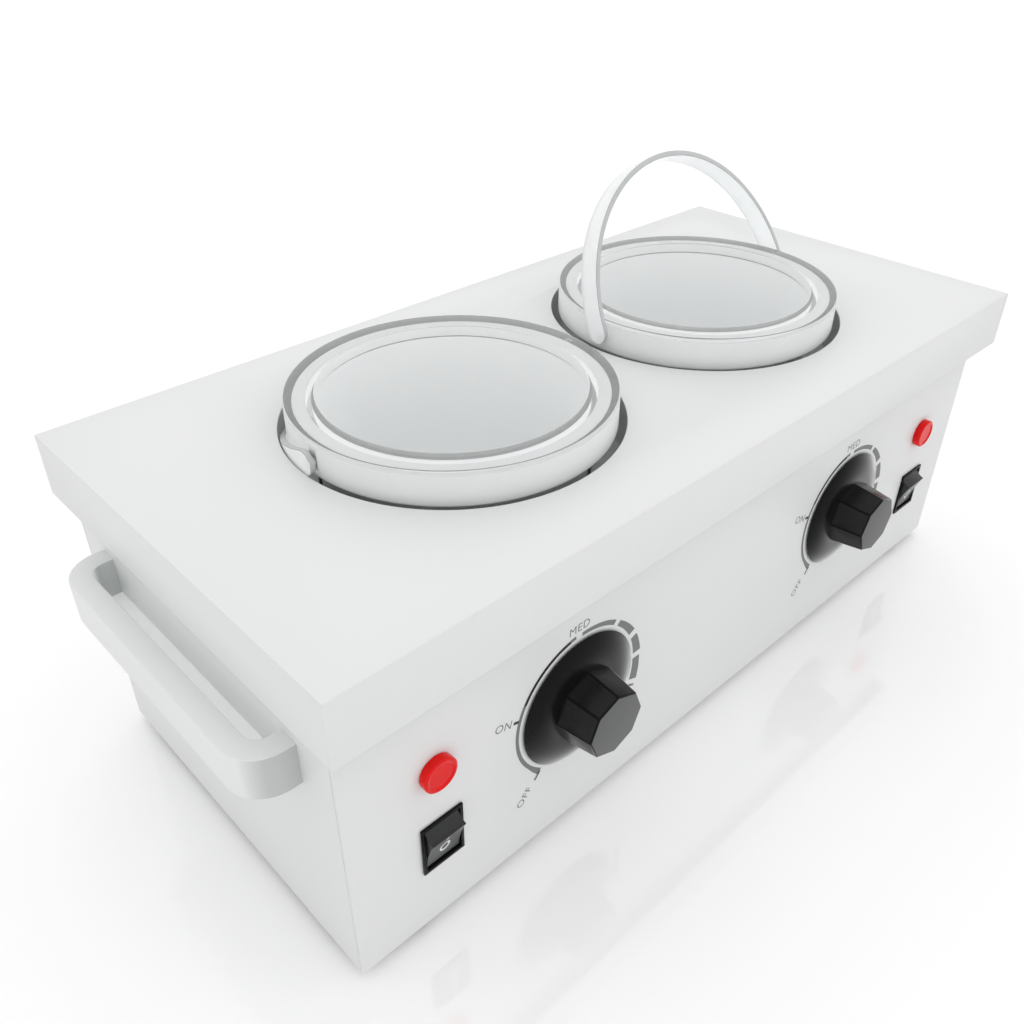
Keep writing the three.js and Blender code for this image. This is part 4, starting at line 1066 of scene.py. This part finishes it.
def makeGland():
    g = inMetres({"bore": 3.8, "thread": 7.8, "threadLength": 9.0, "flange": 10.0, "flangeThick": 4.0,
                  "dome": 8.6, "reach": 17.3, "chamfer": 2.0, "gap": 0.2, "groove": 0.7, "grooveFrom": 5.2,
                  "grooveTo": 13.5, "grooveOut": 0.25})
    ribs = 12
    at = centreOf("cable_gland")
    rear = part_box("rear_panel")[1][1]
    outline = filleted([
        (g["bore"], -g["threadLength"], 0.3 * mm),
        (g["thread"], -g["threadLength"], 0.5 * mm),
        (g["thread"], g["gap"], 0),
        (g["flange"], g["gap"], 0.3 * mm),
        (g["flange"], g["flangeThick"], 0.8 * mm),
        (g["dome"], g["flangeThick"], 0.3 * mm),
        (g["dome"], g["reach"] - g["chamfer"], 1.2 * mm),
        (g["dome"] - g["chamfer"], g["reach"], 0.5 * mm),
        (g["bore"], g["reach"], 0.4 * mm),
    ])
    groove = barMesh(g["groove"], g["grooveFrom"], g["grooveTo"], rounds["rib"])
    ring = g["dome"] + g["grooveOut"]
    grooves = [placed(groove, shifted(ring * math.cos(a), ring * math.sin(a), 0)) for a in turnsOf(ribs)]
    place = shifted(at.x, rear, at.z) @ spun(-90, "X")
    part = placed(shaped(turned(outline, rounds["gland"]), grooves), place)
    addPiece("glandBush", part, "black_plastic", ["cable_gland"], finish=switchFinish)


def makeFoot(number):
    # a pad with a ring pressed into its underside, and a barbed stem in the base plate
    f = inMetres({"radius": 6.0, "stem": 2.2, "barb": 0.8, "padTop": 2.8, "barbUnder": 5.8, "ringIn": 3.2,
                  "ring": 3.6, "ringOut": 4.0, "ringDeep": 0.3, "foot": 0.6, "footRise": 1.4})
    node = f"foot_{number}"
    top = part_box(node)[1][2]
    outline = filleted([
        (0.0, 0.0, 0),
        (f["ringIn"], 0.0, 0.2 * mm),
        (f["ring"], f["ringDeep"], 0.1 * mm),
        (f["ringOut"], 0.0, 0.2 * mm),
        (f["radius"] - f["foot"], 0.0, 0.4 * mm),
        (f["radius"], f["footRise"], 0.5 * mm),
        (f["radius"], f["padTop"], 0.4 * mm),
        (f["stem"], f["padTop"], 0),
        (f["stem"], f["barbUnder"], 0),
        (f["stem"] + f["barb"], f["barbUnder"], 0.1 * mm),
        (f["stem"], top, 0.3 * mm),
        (0.0, top, 0),
    ], steps=3)
    part = stood(welded(turned(outline, rounds["small"])), node)
    addPiece(f"footPad_{number}", part, "foot_rubber", [node])


makeGland()
for number in (1, 2, 3, 4):
    makeFoot(number)
print("gland and feet made")


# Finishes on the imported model's own pieces

def dressFrame():
    slotOf = {entry["node"]: entry["material_slot"] for entry in frame["record"]["subparts"]}
    for node, piece in frame["nodes"].items():
        if isinstance(piece, str):
            piece = bpy.data.objects[piece]
        finish = finishes[slotOf[node]]
        if node.startswith(("switch", "rocker", "gland")):
            finish = switchFinish
        if not piece.material_slots:
            piece.data.materials.append(finish)
        for materialSlot in piece.material_slots:
            materialSlot.material = finish


dressFrame()
print("frame dressed")


# Floor, light and camera

def makeFloor():
    half = 6.0        # metres
    mesh = bpy.data.meshes.new("floor")
    corners = [(-half, -half, 0), (half, -half, 0), (half, half, 0), (-half, half, 0)]
    mesh.from_pydata(corners, [], [(0, 1, 2, 3)])
    piece = linked("floor", mesh)
    mesh.materials.append(clouded("paleFloor", base=(0.99, 0.99, 0.99), cloudy=(0.975, 0.975, 0.975),
                                  cloud=(3, 2), vary=0.01, roughness=0.03, IOR=1.75, glow=0.018))


def makeWorld():
    # the camera, reflections and clear plastic see plain white, all else is lit a little more from +X
    middle, slope, white = 1.07, 0.12, (1, 1, 1, 1)
    scene.world = bpy.data.worlds.new("softRoom")
    room = Finish("softRoom", scene.world)
    direction = room.node("ShaderNodeTexCoord").outputs["Generated"]
    across = room.value("ShaderNodeSeparateXYZ", Vector=direction)
    path = room.node("ShaderNodeLightPath")
    rays = [Value(room.tree, path.outputs[f"Is {kind} Ray"]) for kind in ("Camera", "Glossy", "Transmission")]
    soft = room.node("ShaderNodeBackground", Color=white, Strength=across * slope + middle)
    plain = room.node("ShaderNodeBackground", Color=white, Strength=1.0)
    mix = room.mixed((rays[0] + rays[1] + rays[2]).clamped(), soft, plain)
    room.node("ShaderNodeOutputWorld", Surface=mix.outputs[0])


def makeCamera():
    azimuth, elevation = math.radians(-43.26), math.radians(34.72)
    data = bpy.data.cameras.new("camera")
    data.lens = 34.207
    data.sensor_width = 36
    data.clip_start = 0.01
    data.clip_end = 60
    camera = linked("camera", data)
    level = math.cos(elevation)
    back = Vector((math.sin(azimuth) * level, -math.cos(azimuth) * level, math.sin(elevation)))
    camera.rotation_mode = "QUATERNION"
    camera.rotation_quaternion = (-back).to_track_quat("-Z", "Y")
    camera.location = (-0.25695, -0.23081, 0.29539)
    scene.camera = camera


makeFloor()
makeWorld()
makeCamera()
scene.view_settings.view_transform = "Standard"
print("floor, light and camera made")
